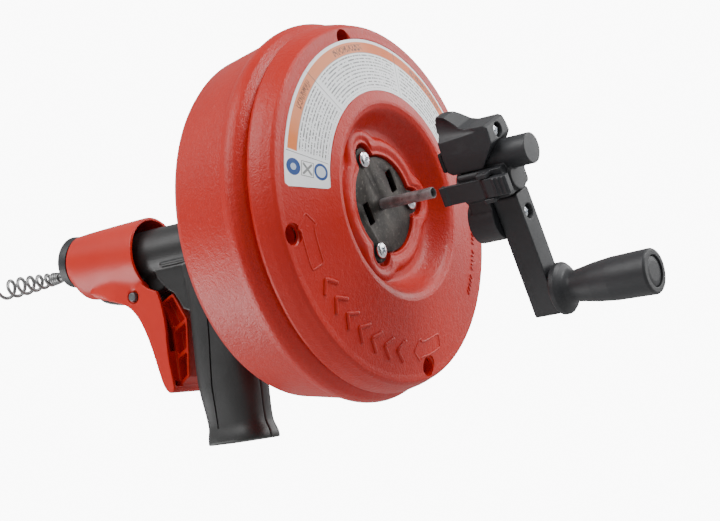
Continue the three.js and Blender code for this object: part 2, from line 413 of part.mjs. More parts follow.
PRONG_Z.forEach((zc, i) => {
  const side = i === 0 ? 1 : -1, name = i === 0 ? 'far' : 'near';
  const yy = (a, b) => side > 0 ? [a, b] : [-b, -a];
  let latch = uni(box(-6.8, 26, ...yy(16.2, 19.2), zc - 5.7, zc + 5.7), box(-6.8, -5.1, ...yy(14.9, 17), zc - 5.7, zc + 5.7),
    place(rod(-5.7, 5.7, 2.9, 14), [LATCH_X, side * LATCH_PIN_Y, zc], [0, 90, 0]), box(24, 39, ...yy(16.6, 21.4), zc - 5.7, zc + 5.7),
    box(30, 31.4, ...yy(20, 22.2), zc - 5, zc + 5), box(33, 34.4, ...yy(20, 22.2), zc - 5, zc + 5), box(36, 37.4, ...yy(20, 22.2), zc - 5, zc + 5));
  latch = cut(latch, place(rod(-12, 12, 1.6, 10), [LATCH_X, side * LATCH_PIN_Y, zc], [0, 90, 0]),
    place(rod(12, 18.2, 2.5, 12), [31, 0, Math.min(zc, 5.5)], [0, 0, side * 90]));
  add(`crank_latch_${name}`, C(latch), BLACK, 0.5);
  add(`latch_pin_${name}`, C(place(rod(-8.7, 8.7, 1.3, 10), [LATCH_X, side * LATCH_PIN_Y, zc], [0, 90, 0])), STEEL, 0.3, 1);
  add(`latch_spring_${name}`, C(place(ring(10.5, 17.2, 1.3, 2.1, 12), [31, 0, Math.min(zc, 5.5)], [0, 0, side * 90])), STEEL, 0.3, 1);
});
// arm and knob
let arm = uni(along(rounded(-8, 8, -CRANK_RADIUS - 13, -10, 2, 2), 17.7, 34), place(rod(33, 35.4, 9, 18), [0, 0, -CRANK_RADIUS]));
arm = cut(arm, place(rod(10, 60, 3.3, 12), [0, 0, -CRANK_RADIUS]), place(rod(10, 26, 6.2, 14), [0, 0, -CRANK_RADIUS]),
  place(rod(10, 60, 2.1, 10), [0, 0, -23.5]), place(rod(29.7, 60, 4.4, 14), [0, 0, -23.5]));
add('crank_arm', C(arm), BLACK, 0.5);
add('arm_screw', C(place(panHead(29.7, 4, 2.4, 1.8, 16), [0, 0, -23.5])), ZINC, 0.3, 1);
// knob on its spindle, a shoulder bolt with its head sunk in the front of the arm
add('knob_spindle', C(place(lathe([[20, 0], [20, 5.6], [25.7, 5.6], [25.7, 3.0], [93.6, 3.0], [93.6, 0]], 14, false), [0, 0, -CRANK_RADIUS])), STEEL, 0.3, 1);
add('crank_knob', C(place(lathe([[35.8, 3.4], [35.8, 15.0], [36.6, 15.6], [39.4, 15.6], [41.2, 14.0], [43, 10.6], [46, 9.3], [52, 10.2], [60, 11.6], [72, 12.9],
  [97, 13.6], [98.4, 12.8], [98.4, 9.4], [90.6, 9.4], [90.6, 3.4]], 20), [0, 0, -CRANK_RADIUS])), BLACK, 0.45);
add('knob_washer', C(place(ring(90.9, 92.3, 3.3, 7.5, 16), [0, 0, -CRANK_RADIUS])), ZINC, 0.3, 1);
add('knob_cap', C(place(rod(94.6, 97.8, 9.1, 20), [0, 0, -CRANK_RADIUS])), BLACK, 0.45);
export default group;
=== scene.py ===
# Looks of the drain snake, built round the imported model.  Lengths in the tables are millimetres.
import bpy, bmesh, json, math, random
import numpy as np
from mathutils import Matrix, Vector, noise

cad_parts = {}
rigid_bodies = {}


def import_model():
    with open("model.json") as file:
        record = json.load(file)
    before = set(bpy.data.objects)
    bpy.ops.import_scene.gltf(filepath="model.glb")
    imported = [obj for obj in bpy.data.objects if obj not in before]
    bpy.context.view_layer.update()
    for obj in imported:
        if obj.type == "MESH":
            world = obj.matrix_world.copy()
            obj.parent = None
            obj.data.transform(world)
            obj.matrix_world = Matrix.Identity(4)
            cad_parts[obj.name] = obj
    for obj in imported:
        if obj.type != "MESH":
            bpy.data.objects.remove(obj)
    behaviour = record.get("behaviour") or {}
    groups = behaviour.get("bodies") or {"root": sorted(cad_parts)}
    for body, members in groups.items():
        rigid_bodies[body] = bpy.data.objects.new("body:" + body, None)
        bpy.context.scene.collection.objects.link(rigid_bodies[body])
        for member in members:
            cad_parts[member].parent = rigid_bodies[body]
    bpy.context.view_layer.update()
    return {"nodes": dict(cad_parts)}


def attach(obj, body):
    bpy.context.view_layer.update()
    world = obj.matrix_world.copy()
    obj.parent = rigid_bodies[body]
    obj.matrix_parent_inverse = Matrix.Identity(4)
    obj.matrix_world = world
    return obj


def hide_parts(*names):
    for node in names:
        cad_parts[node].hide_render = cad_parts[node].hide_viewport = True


for _o in list(bpy.data.objects): bpy.data.objects.remove(_o)
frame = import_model()
N = frame["nodes"]
MM = 0.001
rad = math.radians
scene = bpy.context.scene

# ------------------------------------------------------------------ camera
cam_data = bpy.data.cameras.new("camera")
cam = bpy.data.objects.new("camera", cam_data)
scene.collection.objects.link(cam)
cam_data.sensor_width = 36
cam_data.lens = 105.21
cam_data.clip_start, cam_data.clip_end = 0.05, 50
right, down, fwd = Vector((0.8123, 0.5656, -0.1422)), Vector((-0.1724, 0.0, -0.9850)), Vector((-0.5571, 0.8247, 0.0975))
fwd.normalize(); right = (right - fwd * right.dot(fwd)).normalized(); down = fwd.cross(right)
m = Matrix((right, -down, -fwd)).transposed().to_4x4()
m.translation = Vector((0.6906, -1.05526, -0.15544))
cam.matrix_world = m
scene.camera = cam

# ------------------------------------------------------------------ mesh kit
def new_obj(name, verts, faces, scale=MM):
    me = bpy.data.meshes.new(name)
    me.from_pydata([(x * scale, y * scale, z * scale) for x, y, z in verts], [], faces)
    me.validate()
    ob = bpy.data.objects.new(name, me)
    scene.collection.objects.link(ob)
    fix(ob)
    return ob

def fix(ob):
    bm = bmesh.new(); bm.from_mesh(ob.data)
    bmesh.ops.remove_doubles(bm, verts=bm.verts, dist=1e-7)
    bmesh.ops.recalc_face_normals(bm, faces=bm.faces)
    bm.to_mesh(ob.data); bm.free()

def lathe(name, prof, seg=96, c=(0, 0, 0), closed=True):
    """Turned about X from [x, r] rows. A row on the axis has r = 0."""
    verts, rows = [], []
    for x, r in prof:
        if r < 1e-6:
            rows.append([len(verts)]); verts.append((x + c[0], c[1], c[2]))
        else:
            rows.append(list(range(len(verts), len(verts) + seg)))
            verts += [(x + c[0], c[1] + r * math.cos(2 * math.pi * i / seg), c[2] + r * math.sin(2 * math.pi * i / seg)) for i in range(seg)]
    faces = []
    pairs = list(zip(rows, rows[1:])) + ([(rows[-1], rows[0])] if closed and len(rows[0]) > 1 and len(rows[-1]) > 1 else [])
    for a, b in pairs:
        for i in range(seg):
            j = (i + 1) % seg
            if len(a) == 1 and len(b) == 1: continue
            if len(a) == 1: faces.append((a[0], b[j], b[i]))
            elif len(b) == 1: faces.append((a[i], a[j], b[0]))
            else: faces.append((a[i], a[j], b[j], b[i]))
    return new_obj(name, verts, faces)

def prism(name, pts, a0, a1, plane="YZ"):
    """Outline carried along X (plane YZ) or along Y (plane XZ)."""
    n = len(pts)
    f = (lambda p, a: (a, p[0], p[1])) if plane == "YZ" else (lambda p, a: (p[0], a, p[1]))
    verts = [f(p, a0) for p in pts] + [f(p, a1) for p in pts]
    faces = [tuple(range(n)), tuple(range(2 * n - 1, n - 1, -1))] + [(i, (i + 1) % n, n + (i + 1) % n, n + i) for i in range(n)]
    return new_obj(name, verts, faces)

def box(name, x0, x1, y0, y1, z0, z1):
    return prism(name, [(y0, z0), (y1, z0), (y1, z1), (y0, z1)], x0, x1)

def rrect(y0, y1, z0, z1, r, n=8):
    out = []
    for cy, cz, a0 in ((y1 - r, z1 - r, 0), (y0 + r, z1 - r, 90), (y0 + r, z0 + r, 180), (y1 - r, z0 + r, 270)):
        out += [(cy + r * math.cos(rad(a0 + 90 * i / n)), cz + r * math.sin(rad(a0 + 90 * i / n))) for i in range(n + 1)]
    return out

def smooth_pts(pts, it=2, closed=True):
    """Corner cutting of an outline."""
    for _ in range(it):
        out, n = [], len(pts)
        rng = range(n) if closed else range(n - 1)
        if not closed: out.append(pts[0])
        for i in rng:
            p, q = pts[i], pts[(i + 1) % n]
            out += [tuple(p[k] * 0.75 + q[k] * 0.25 for k in range(len(p))), tuple(p[k] * 0.25 + q[k] * 0.75 for k in range(len(p)))]
        if not closed: out.append(pts[-1])
        pts = out
    return pts

def bake(ob):
    """Applies the modifiers of ob."""
    dg = bpy.context.evaluated_depsgraph_get()
    dg.update()
    me = bpy.data.meshes.new_from_object(ob.evaluated_get(dg))
    old = ob.data
    ob.modifiers.clear()
    ob.data = me
    bpy.data.meshes.remove(old)
    return ob

def drop(ob):
    me = ob.data
    bpy.data.objects.remove(ob)
    if me.users == 0: bpy.data.meshes.remove(me)

def boole(ob, others, op="DIFFERENCE"):
    for o in others:
        for solver in ("MANIFOLD", "EXACT"):
            md = ob.modifiers.new("b", "BOOLEAN"); md.operation = op; md.object = o; md.solver = solver
            dg = bpy.context.evaluated_depsgraph_get(); dg.update()
            me = bpy.data.meshes.new_from_object(ob.evaluated_get(dg))
            ob.modifiers.clear()
            same = op != "INTERSECT" and len(me.vertices) == len(ob.data.vertices)
            if len(me.polygons) > 0 and not same: break
            if solver == "MANIFOLD": bpy.data.meshes.remove(me)
        old = ob.data; ob.data = me; bpy.data.meshes.remove(old)
        drop(o)
    return ob

def uni(a, *b): return boole(a, b, "UNION")
def cut(a, *b): return boole(a, b, "DIFFERENCE")
def common(a, *b): return boole(a, b, "INTERSECT")
def copy(ob):
    c = bpy.data.objects.new(ob.name, ob.data.copy()); scene.collection.objects.link(c); return c

def move(ob, mat):
    ob.data.transform(mat); ob.data.update()
    if mat.to_3x3().determinant() < 0: ob.data.flip_normals()
    return ob

def place(ob, pos=(0, 0, 0), rot=(0, 0, 0)):
    return move(ob, T(*pos) @ RZ(rot[2]) @ RY(rot[1]) @ RX(rot[0]))
def T(x, y, z): return Matrix.Translation((x * MM, y * MM, z * MM))
def RX(a): return Matrix.Rotation(rad(a), 4, "X")
def RY(a): return Matrix.Rotation(rad(a), 4, "Y")
def RZ(a): return Matrix.Rotation(rad(a), 4, "Z")

def smooth(ob, angle=35):
    ob.data.shade_smooth()
    if angle < 180:
        ob.data.set_sharp_from_angle(angle=rad(angle))
    return ob

def bevel(ob, w, seg=3, angle=30, merge=True):
    if merge: fix(ob)
    md = ob.modifiers.new("bevel", "BEVEL"); md.width = w * MM; md.segments = seg; md.limit_method = "ANGLE"
    md.angle_limit = rad(angle); md.harden_normals = False; md.miter_outer = "MITER_ARC"; md.use_clamp_overlap = True
    bake(ob)
    return smooth(ob, 40)

def soften(ob, voxel, it=4, f=0.5):
    """Voxel remesh and smoothing: a moulded part with small fillets everywhere."""
    md = ob.modifiers.new("r", "REMESH"); md.mode = "VOXEL"; md.voxel_size = voxel * MM; md.adaptivity = 0
    md = ob.modifiers.new("s", "SMOOTH"); md.factor = f; md.iterations = it
    bake(ob)
    ob.data.shade_smooth()
    return ob

# ------------------------------------------------------------------ materials
def node_mat(name):
    mt = bpy.data.materials.new(name); mt.use_nodes = True
    nt = mt.node_tree; nt.nodes.clear()
    out = nt.nodes.new("ShaderNodeOutputMaterial"); b = nt.nodes.new("ShaderNodeBsdfPrincipled")
    nt.links.new(b.outputs[0], out.inputs[0])
    return mt, nt, b

class K:
    """Small helper for building node trees."""
    def __init__(self, nt): self.nt = nt; self.tc = nt.nodes.new("ShaderNodeTexCoord")
    def n(self, kind, **kw):
        nd = self.nt.nodes.new("ShaderNode" + kind)
        for k, v in kw.items():
            if k.startswith("i_"):
                key = k[2:]; nd.inputs[int(key) if key.isdigit() else key].default_value = v
            else: setattr(nd, k, v)
        return nd
    def link(self, a, b): self.nt.links.new(a, b)
    def coord(self, scale=(1, 1, 1)):
        mp = self.n("Mapping"); mp.inputs["Scale"].default_value = scale
        self.link(self.tc.outputs["Object"], mp.inputs["Vector"]); return mp.outputs[0]
    def noise(self, scale, detail=3, rough=0.5, vec=None, dist=0.0):
        nd = self.n("TexNoise"); nd.inputs["Scale"].default_value = scale; nd.inputs["Detail"].default_value = detail
        nd.inputs["Roughness"].default_value = rough; nd.inputs["Distortion"].default_value = dist
        self.link(vec or self.tc.outputs["Object"], nd.inputs["Vector"]); return nd.outputs["Fac"]
    def ramp(self, fac, stops):
        r = self.n("ValToRGB"); cr = r.color_ramp
        while len(cr.elements) < len(stops): cr.elements.new(0.5)
        for e, (p, c) in zip(cr.elements, stops): e.position = p; e.color = c if len(c) == 4 else (*c, 1)
        self.link(fac, r.inputs[0]); return r.outputs[0]
    def rng(self, v, a, b, c, d):
        r = self.n("MapRange"); r.inputs[1].default_value = a; r.inputs[2].default_value = b
        r.inputs[3].default_value = c; r.inputs[4].default_value = d; self.link(v, r.inputs[0]); return r.outputs[0]
    def math(self, op, a, b=None, c=None):
        nd = self.n("Math", operation=op)
        for i, v in enumerate((a, b, c)):
            if v is None: continue
            if isinstance(v, (int, float)): nd.inputs[i].default_value = v
            else: self.link(v, nd.inputs[i])
        return nd.outputs[0]
    def mix(self, f, a, b, kind="MIX"):
        nd = self.n("MixRGB", blend_type=kind)
        for i, v in enumerate((f, a, b)):
            if isinstance(v, (int, float)): nd.inputs[i].default_value = v
            elif isinstance(v, tuple): nd.inputs[i].default_value = v if len(v) == 4 else (*v, 1)
            else: self.link(v, nd.inputs[i])
        return nd.outputs[0]
    def bump(self, h, strength, dist, prev=None):
        nd = self.n("Bump"); nd.inputs["Strength"].default_value = strength; nd.inputs["Distance"].default_value = dist
        self.link(h, nd.inputs["Height"])
        if prev: self.link(prev, nd.inputs["Normal"])
        return nd.outputs[0]

def plastic(name, dark, light, rough=(0.36, 0.5), grain=2600, bump=0.25, coat=0.0, spec=0.5, wear=None, depth=1.0):
    """Moulded plastic: fine spark texture, slow colour drift, faint scuffs."""
    mt, nt, b = node_mat(name); k = K(nt)
    drift = k.noise(14, 3, 0.55)
    fine = k.noise(grain, 2, 0.6)
    col = k.ramp(drift, [(0.3, dark), (0.72, light)])
    col = k.mix(k.rng(fine, 0.3, 0.7, 0.0, 0.10), col, light)
    scuff = k.noise(60, 5, 0.7, k.coord((1, 3.5, 1)), 0.6)
    sc = k.rng(scuff, 0.60, 0.74, 0.0, 1.0)
    if wear: col = k.mix(k.math("MULTIPLY", sc, 0.22), col, wear)
    k.link(col, b.inputs["Base Color"])
    rg = k.math("ADD", k.rng(k.noise(35, 4, 0.6), 0.3, 0.7, *rough), k.math("MULTIPLY", sc, 0.05))
    k.link(rg, b.inputs["Roughness"])
    b.inputs["Specular IOR Level"].default_value = spec
    b.inputs["Coat Weight"].default_value = coat
    b.inputs["Coat Roughness"].default_value = 0.25
    n1 = k.bump(fine, bump, 0.00012 * depth)
    n2 = k.bump(k.noise(grain * 0.32, 2, 0.5), bump * 0.6, 0.00018 * depth, n1)
    k.link(n2, b.inputs["Normal"])
    return mt

def metal(name, c0, c1, rough=(0.25, 0.4), scale=900, stretch=(1, 1, 1), mottle=60, bump=0.15, metallic=1.0, spots=None):
    mt, nt, b = node_mat(name); k = K(nt)
    v = k.coord(stretch)
    col = k.ramp(k.noise(mottle, 5, 0.65), [(0.32, c0), (0.68, c1)])
    if spots: col = k.mix(k.rng(k.noise(mottle * 4, 4, 0.7), 0.56, 0.66, 0, 0.75), col, spots)
    k.link(col, b.inputs["Base Color"])
    b.inputs["Metallic"].default_value = metallic
    fine = k.noise(scale, 4, 0.6, v)
    k.link(k.rng(fine, 0.3, 0.7, *rough), b.inputs["Roughness"])
    k.link(k.bump(fine, bump, 0.0001), b.inputs["Normal"])
    return mt

RED = plastic("red_plastic_mat", (0.455, 0.0098, 0.0031), (0.535, 0.0158, 0.0053), (0.34, 0.44), 900, 0.75, spec=0.40, depth=3.2)
RED_SLEEVE = plastic("red_sleeve_mat", (0.49, 0.013, 0.0046), (0.565, 0.0205, 0.0083), (0.36, 0.45), 1800, 0.10, spec=0.38)
BLACK = plastic("black_plastic_mat", (0.013, 0.0135, 0.015), (0.021, 0.022, 0.025), (0.42, 0.56), 2200, 0.22, wear=(0.07, 0.072, 0.075))
BLACK_GRIP = plastic("black_grip_mat", (0.012, 0.0125, 0.0125), (0.020, 0.0205, 0.0205), (0.34, 0.48), 1900, 0.3, wear=(0.06, 0.06, 0.06))
RUBBER = plastic("rubber_mat", (0.008, 0.008, 0.009), (0.016, 0.016, 0.017), (0.6, 0.75), 1800, 0.3, spec=0.3)
ACETAL = plastic("acetal_mat", (0.62, 0.60, 0.52), (0.74, 0.72, 0.64), (0.3, 0.42), 1200, 0.05)
PLATE = metal("plate_mat", (0.014, 0.0125, 0.0115), (0.045, 0.040, 0.035), (0.42, 0.6), 700, (1, 1, 1), 90, 0.25, 0.75, spots=(0.10, 0.09, 0.08))
SHAFT = metal("shaft_mat", (0.13, 0.125, 0.125), (0.36, 0.36, 0.365), (0.36, 0.52), 500, (1, 6, 6), 170, 0.3, 0.45, spots=(0.07, 0.06, 0.055))
STEEL = metal("steel_mat", (0.34, 0.34, 0.35), (0.5, 0.5, 0.51), (0.22, 0.34), 900, (1, 8, 8), 70, 0.15)
ZINC = metal("zinc_mat", (0.66, 0.68, 0.71), (0.86, 0.88, 0.9), (0.12, 0.24), 900, (1, 1, 1), 120, 0.08)
WIRE = metal("wire_mat", (0.15, 0.15, 0.15), (0.32, 0.32, 0.32), (0.3, 0.42), 1200, (1, 1, 1), 200, 0.12, 0.85)

def give(ob, mat):
    ob.data.materials.clear(); ob.data.materials.append(mat)
    return ob

def piece(ob, body, mat, slot, *nodes):
    give(ob, mat)
    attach(ob, body)
    if nodes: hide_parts(*nodes)
    return ob

# ------------------------------------------------------------------ drum
HUB_A, HUB_R = (119, 250, 4), 30.5
COV_A, COV_R, WELL_R = (101.5, 191.5, 281.5, 11.5), 102.3, 5.9
DRUM_SEG = 256

def fillet(prof, radii, n=5):
    """Rounds the corners of an open profile, radius per corner (0 keeps it)."""
    out = []
    for i, p in enumerate(prof):
        r = radii[i] if i < len(radii) else 0
        if r <= 0 or i in (0, len(prof) - 1): out.append(p); continue
        a, b, c = np.array(prof[i - 1], float), np.array(p, float), np.array(prof[i + 1], float)
        u, v = a - b, c - b; lu, lv = np.linalg.norm(u), np.linalg.norm(v); u /= lu; v /= lv
        ang = math.acos(max(-1, min(1, float(u @ v))))
        t = min(r / math.tan(ang / 2) if ang < math.pi - 1e-3 else 0, lu * 0.48, lv * 0.48)
        if t < 1e-4: out.append(p); continue
        p0, p1 = b + u * t, b + v * t
        for k in range(n + 1):
            s = k / n; q = (1 - s) ** 2 * p0 + 2 * s * (1 - s) * b + s * s * p1
            out.append((float(q[0]), float(q[1])))
    return out

rear_out = [(-79, 21.6), (-79, 26), (-70.5, 28), (-68, 34), (-68, 88), (-71.8, 94), (-75.8, 101), (-75.8, 104.2), (-71.2, 107.2), (-33.5, 113.9), (-32.9, 114.2),
            (-32.5, 115.5), (-28.2, 117.1), (-25.3, 117.42), (-21.6, 116.0), (-18.4, 112.4), (-16.9, 110.4), (-16.2, 109.9)]
rear_rad = [0, 1.2, 5, 4, 5, 8, 2, 3.5, 4, 0.3, 0.3, 0.9, 6, 7, 5, 2, 0.8, 0]
rear_in = [(-16.2, 108.4), (-22, 113.0), (-27, 114.0), (-34, 110.8), (-68.4, 104), (-71.5, 98.5), (-65.2, 90), (-65.2, 34), (-66.6, 29), (-66.6, 21.6)]
rear = lathe("drum_rear", fillet(rear_out, rear_rad, 6) + rear_in, DRUM_SEG)
smooth(rear, 40)
piece(rear, "drum", RED, "red_plastic", "drum_rear_shell")

def lobed(theta, r_main, r_lobe, reach, blend=1.6):
    """Polar radius of the three-lobed outline at angle theta, in degrees."""
    best = r_main
    vals = [r_main]
    for a in HUB_A:
        d = rad(theta - a); c = HUB_R + reach
        s = c * math.sin(d)
        if math.cos(d) > 0 and abs(s) < r_lobe:
            vals.append(c * math.cos(d) + math.sqrt(r_lobe * r_lobe - s * s))
    m_ = max(vals)
    return m_

def lobed_table(r_main, r_lobe, reach, n, w=5):
    v = np.array([lobed(360 * i / n, r_main, r_lobe, reach) for i in range(n)])
    kern = np.exp(-0.5 * (np.arange(-3 * w, 3 * w + 1) / w) ** 2); kern /= kern.sum()
    return np.convolve(np.concatenate([v[-3 * w:], v, v[:3 * w]]), kern, "valid")

def cover_mesh():
    n = 720
    rho = lobed_table(30.0, 8.9, 1.0, n, 3)                # edge of the opening
    col = lobed_table(39.3, 17.0, 0.6, n, 6)               # edge of the raised collar with its three bosses
    face = fillet([(11.5, 57.9), (12.15, 59.4), (12.3, 61.2), (11.6, 64.4), (10.9, 67.3), (3.0, 101.5), (2.3, 104.4), (2.1, 106.6), (1.75, 108.7),
                   (0.2, 110.2), (-6, 112.3), (-12.6, 113.6), (-14.6, 112.9), (-15.6, 111.0), (-15.8, 110.0)],
                  [0, 0.7, 1.0, 2.5, 2, 3, 2, 1, 1.4, 3, 12, 2.0, 1.2, 0.8, 0], 6)
    back = [(-7, 109.4), (-2.0, 107.0), (-0.3, 101.2), (7.9, 66.2), (8.6, 60.4), (-3.4, 47.0)]
    XT, RT, RW, XW = -1.2, 45.6, 57.9, 11.5
    cols = []
    for i in range(n):
        p, q = rho[i], col[i]
        rows = [(-5.6, 26.5), (-3.0, 26.5), (-2.85, p - 0.5), (-2.5, p), (0.9, p + 0.05), (1.45, p + 0.2), (1.75, p + 0.55), (1.78, p + 1.0), (1.6, p + 1.5), (1.5, p + 2.0),
                (1.58, p + 2.6), (1.85, p + 3.3), (2.2, p + 4.0), (2.45, p + 4.7)]
        r0 = p + 5.4; k = 34
        for j in range(k):
            r = r0 + (RW - r0) * j / k
            e = (r - q) / 0.7
            top = 2.55 - 1.9 * 0.7 * (math.log1p(math.exp(e)) if e < 30 else e)
            u = min(1.0, max(0.0, (r - RT) / (RW - RT)))
            wall = XT + (XW - XT) * (u * u * (3 - 2 * u)) * (0.86 + 0.14 * u)
            rows.append((0.5 * (top + wall + math.sqrt((top - wall) ** 2 + 0.8)), r))
        rows += face + back + [(-3.4, p + 3.2), (-5.6, p + 2.2)]
        cols.append(rows)
    m_ = len(cols[0]); verts = []
    for i, rows in enumerate(cols):
        c, s = math.cos(2 * math.pi * i / n), math.sin(2 * math.pi * i / n)
        verts += [(x, r * c, r * s) for x, r in rows]
    faces = []
    for i in range(n):
        j = (i + 1) % n
        for a in range(m_):
            b = (a + 1) % m_
            faces.append((i * m_ + a, i * m_ + b, j * m_ + b, j * m_ + a))
    return new_obj("drum_cover", verts, faces)

cover = cover_mesh()
def polar(r, a): return r * math.cos(rad(a)), r * math.sin(rad(a))
# seat of the label, a shallow step in the face
def slope(r): return 10.9 - (r - 67.3) * (10.9 - 3.0) / (101.5 - 67.3)
def arc_strip(name, r0, r1, a0, a1, lo, hi, corner=3.2, n=180, rows=8):
    """Curved strip on the conical face between radii and angles with rounded corners, from lo to hi above it."""
    verts, faces, uvs = [], [], []
    for top in (1, 0):
        for i in range(n + 1):
            t = i / n; a = a0 + (a1 - a0) * t
            for j in range(rows + 1):
                s = j / rows
                rm = (r0 + r1) / 2; e = min(t, 1 - t) * rad(a1 - a0) * rm      # distance to the end
                cut_ = 0
                if e < corner: cut_ = corner - math.sqrt(max(0, corner ** 2 - (corner - e) ** 2))
                r = (r0 + cut_) + (r1 - r0 - 2 * cut_) * s
                y, z = polar(r, a)
                verts.append((slope(r) + (hi if top else lo), y, z)); uvs.append((t, (r - r0) / (r1 - r0)))
    w = rows + 1; base = (n + 1) * w
    for i in range(n):
        for j in range(rows):
            a_, b_, c_, d_ = i * w + j, i * w + j + 1, (i + 1) * w + j + 1, (i + 1) * w + j
            faces.append((a_, b_, c_, d_)); faces.append((base + d_, base + c_, base + b_, base + a_))
        for j in (0, rows):
            a_, d_ = i * w + j, (i + 1) * w + j
            faces.append((a_, d_, base + d_, base + a_) if j == 0 else (d_, a_, base + a_, base + d_))
    for i in (0, n):
        for j in range(rows):
            a_, b_ = i * w + j, i * w + j + 1
            faces.append((b_, a_, base + a_, base + b_) if i == 0 else (a_, b_, base + b_, base + a_))
    ob = new_obj(name, verts, faces)
    uv = ob.data.uv_layers.new(name="UVMap")
    a0r, a1r = a0, a1
    for poly in ob.data.polygons:
        for li in poly.loop_indices:
            co = ob.data.vertices[ob.data.loops[li].vertex_index].co / MM
            a = math.degrees(math.atan2(co.z, co.y)) % 360
            uv.data[li].uv = ((a - a0r) / (a1r - a0r), (math.hypot(co.y, co.z) - r0) / (r1 - r0))
    return ob
LAB = (67.9, 101.2, 22, 175.6)
boole(cover, [arc_strip("cut_label", LAB[0] - 0.5, LAB[1] + 0.5, LAB[2] - 0.4, LAB[3] + 0.4, -0.45, 3, 3.7, 120, 4)])
for a in COV_A:
    y, z = polar(COV_R, a)
    boole(cover, [lathe("cut_well", [(-9, 0), (-9, 5.6), (1.0, WELL_R - 0.15), (1.9, WELL_R), (2.6, WELL_R + 0.9), (6, WELL_R + 1.2), (6, 0)], 48, (0, y, z), False)])
for i, a in enumerate(COV_A):
    y, z = polar(COV_R, a)
    cup = lathe(f"well_cup_{i + 1}", fillet([(-7.2, 0), (-7.2, 6.9), (-0.6, 6.9), (-0.6, 5.75), (-6.2, 5.2), (-6.2, 0)], [0, 0.3, 0, 0, 1.5, 0], 5), 48, (0, y, z), False)
    smooth(cup, 40); piece(cup, "drum", RED, "red_plastic")
smooth(cover, 33)
piece(cover, "drum", RED, "red_plastic", "drum_front_cover")

# port of the basic shapes, finer than the solids of the model
def rod(x0, x1, r, seg=64): return lathe("rod", [(x0, 0), (x0, r), (x1, r), (x1, 0)], seg, (0, 0, 0), False)
def tube_ring(x0, x1, r0, r1, seg=64): return lathe("ring", [(x0, r0), (x0, r1), (x1, r1), (x1, r0)], seg)
def bx(x0, x1, y0, y1, z0, z1): return box("box", x0, x1, y0, y1, z0, z1)
def sideways(pts, y0, y1): return prism("side", pts, y0, y1, "XZ")
def along(pts, x0, x1): return prism("along", pts, x0, x1, "YZ")
def crod(pos, x0, x1, r, rot=(0, 0, 0), seg=48): return place(rod(x0, x1, r, seg), pos, rot)

def sweep(name, pts, radius, seg=10, closed=False, flat=1.0):
    """Round bar along points (mm); radius is a number or one per point."""
    P = [Vector(p) for p in pts]; n = len(P)
    R = radius if isinstance(radius, (list, tuple)) else [radius] * n
    tang = []
    for i in range(n):
        a = P[(i - 1) % n] if closed or i else P[0]; b = P[(i + 1) % n] if closed or i < n - 1 else P[-1]
        tang.append((b - a).normalized())
    up = Vector((0, 0, 1)) if abs(tang[0].z) < 0.9 else Vector((1, 0, 0))
    nrm = (up - tang[0] * up.dot(tang[0])).normalized()
    verts, frames = [], []
    for i in range(n):
        if i:
            nrm = (nrm - tang[i] * nrm.dot(tang[i])).normalized()
        frames.append((nrm.copy(), tang[i].cross(nrm)))
    for i in range(n):
        u, v = frames[i]
        verts += [tuple(P[i] + (u * math.cos(2 * math.pi * j / seg) + v * math.sin(2 * math.pi * j / seg)) * R[i]) for j in range(seg)]
    faces = []
    for i in range(n if closed else n - 1):
        a, b = i * seg, ((i + 1) % n) * seg
        faces += [(a + j, a + (j + 1) % seg, b + (j + 1) % seg, b + j) for j in range(seg)]
    if not closed:
        faces += [tuple(range(seg))[::-1], tuple(range((n - 1) * seg, n * seg))]
    return new_obj(name, verts, faces)

def loft(name, fn, rings, seg):
    verts, faces = [], []
    for i in range(rings + 1):
        for j in range(seg): verts.append(fn(1 - i / rings, 2 * math.pi * j / seg, 1))
    for i in range(rings):
        for j in range(seg):
            k = (j + 1) % seg
            faces.append((i * seg + j, i * seg + k, (i + 1) * seg + k, (i + 1) * seg + j))
    a = len(verts); verts.append(fn(1, 0, 0)); b = len(verts); verts.append(fn(0, 0, 0))
    for j in range(seg):
        k = (j + 1) % seg
        faces.append((a, k, j)); faces.append((b, rings * seg + j, rings * seg + k))
    return new_obj(name, verts, faces)

def table(rows, key):
    """Smooth value through the rows, first column the key."""
    ks = [r[0] for r in rows]
    if key <= ks[0]: return rows[0][1:]
    if key >= ks[-1]: return rows[-1][1:]
    i = max(j for j in range(len(ks) - 1) if ks[j] <= key)
    t = (key - ks[i]) / (ks[i + 1] - ks[i])
    out = []
    for c in range(1, len(rows[0])):
        p1, p2 = rows[i][c], rows[i + 1][c]
        m = lambda j: (rows[min(j + 1, len(rows) - 1)][c] - rows[max(j - 1, 0)][c]) / max(1e-9, ks[min(j + 1, len(rows) - 1)] - ks[max(j - 1, 0)])
        h = ks[i + 1] - ks[i]; m1, m2 = m(i) * h, m(i + 1) * h
        out.append((2 * t**3 - 3 * t**2 + 1) * p1 + (t**3 - 2 * t**2 + t) * m1 + (-2 * t**3 + 3 * t**2) * p2 + (t**3 - t**2) * m2)
    return out

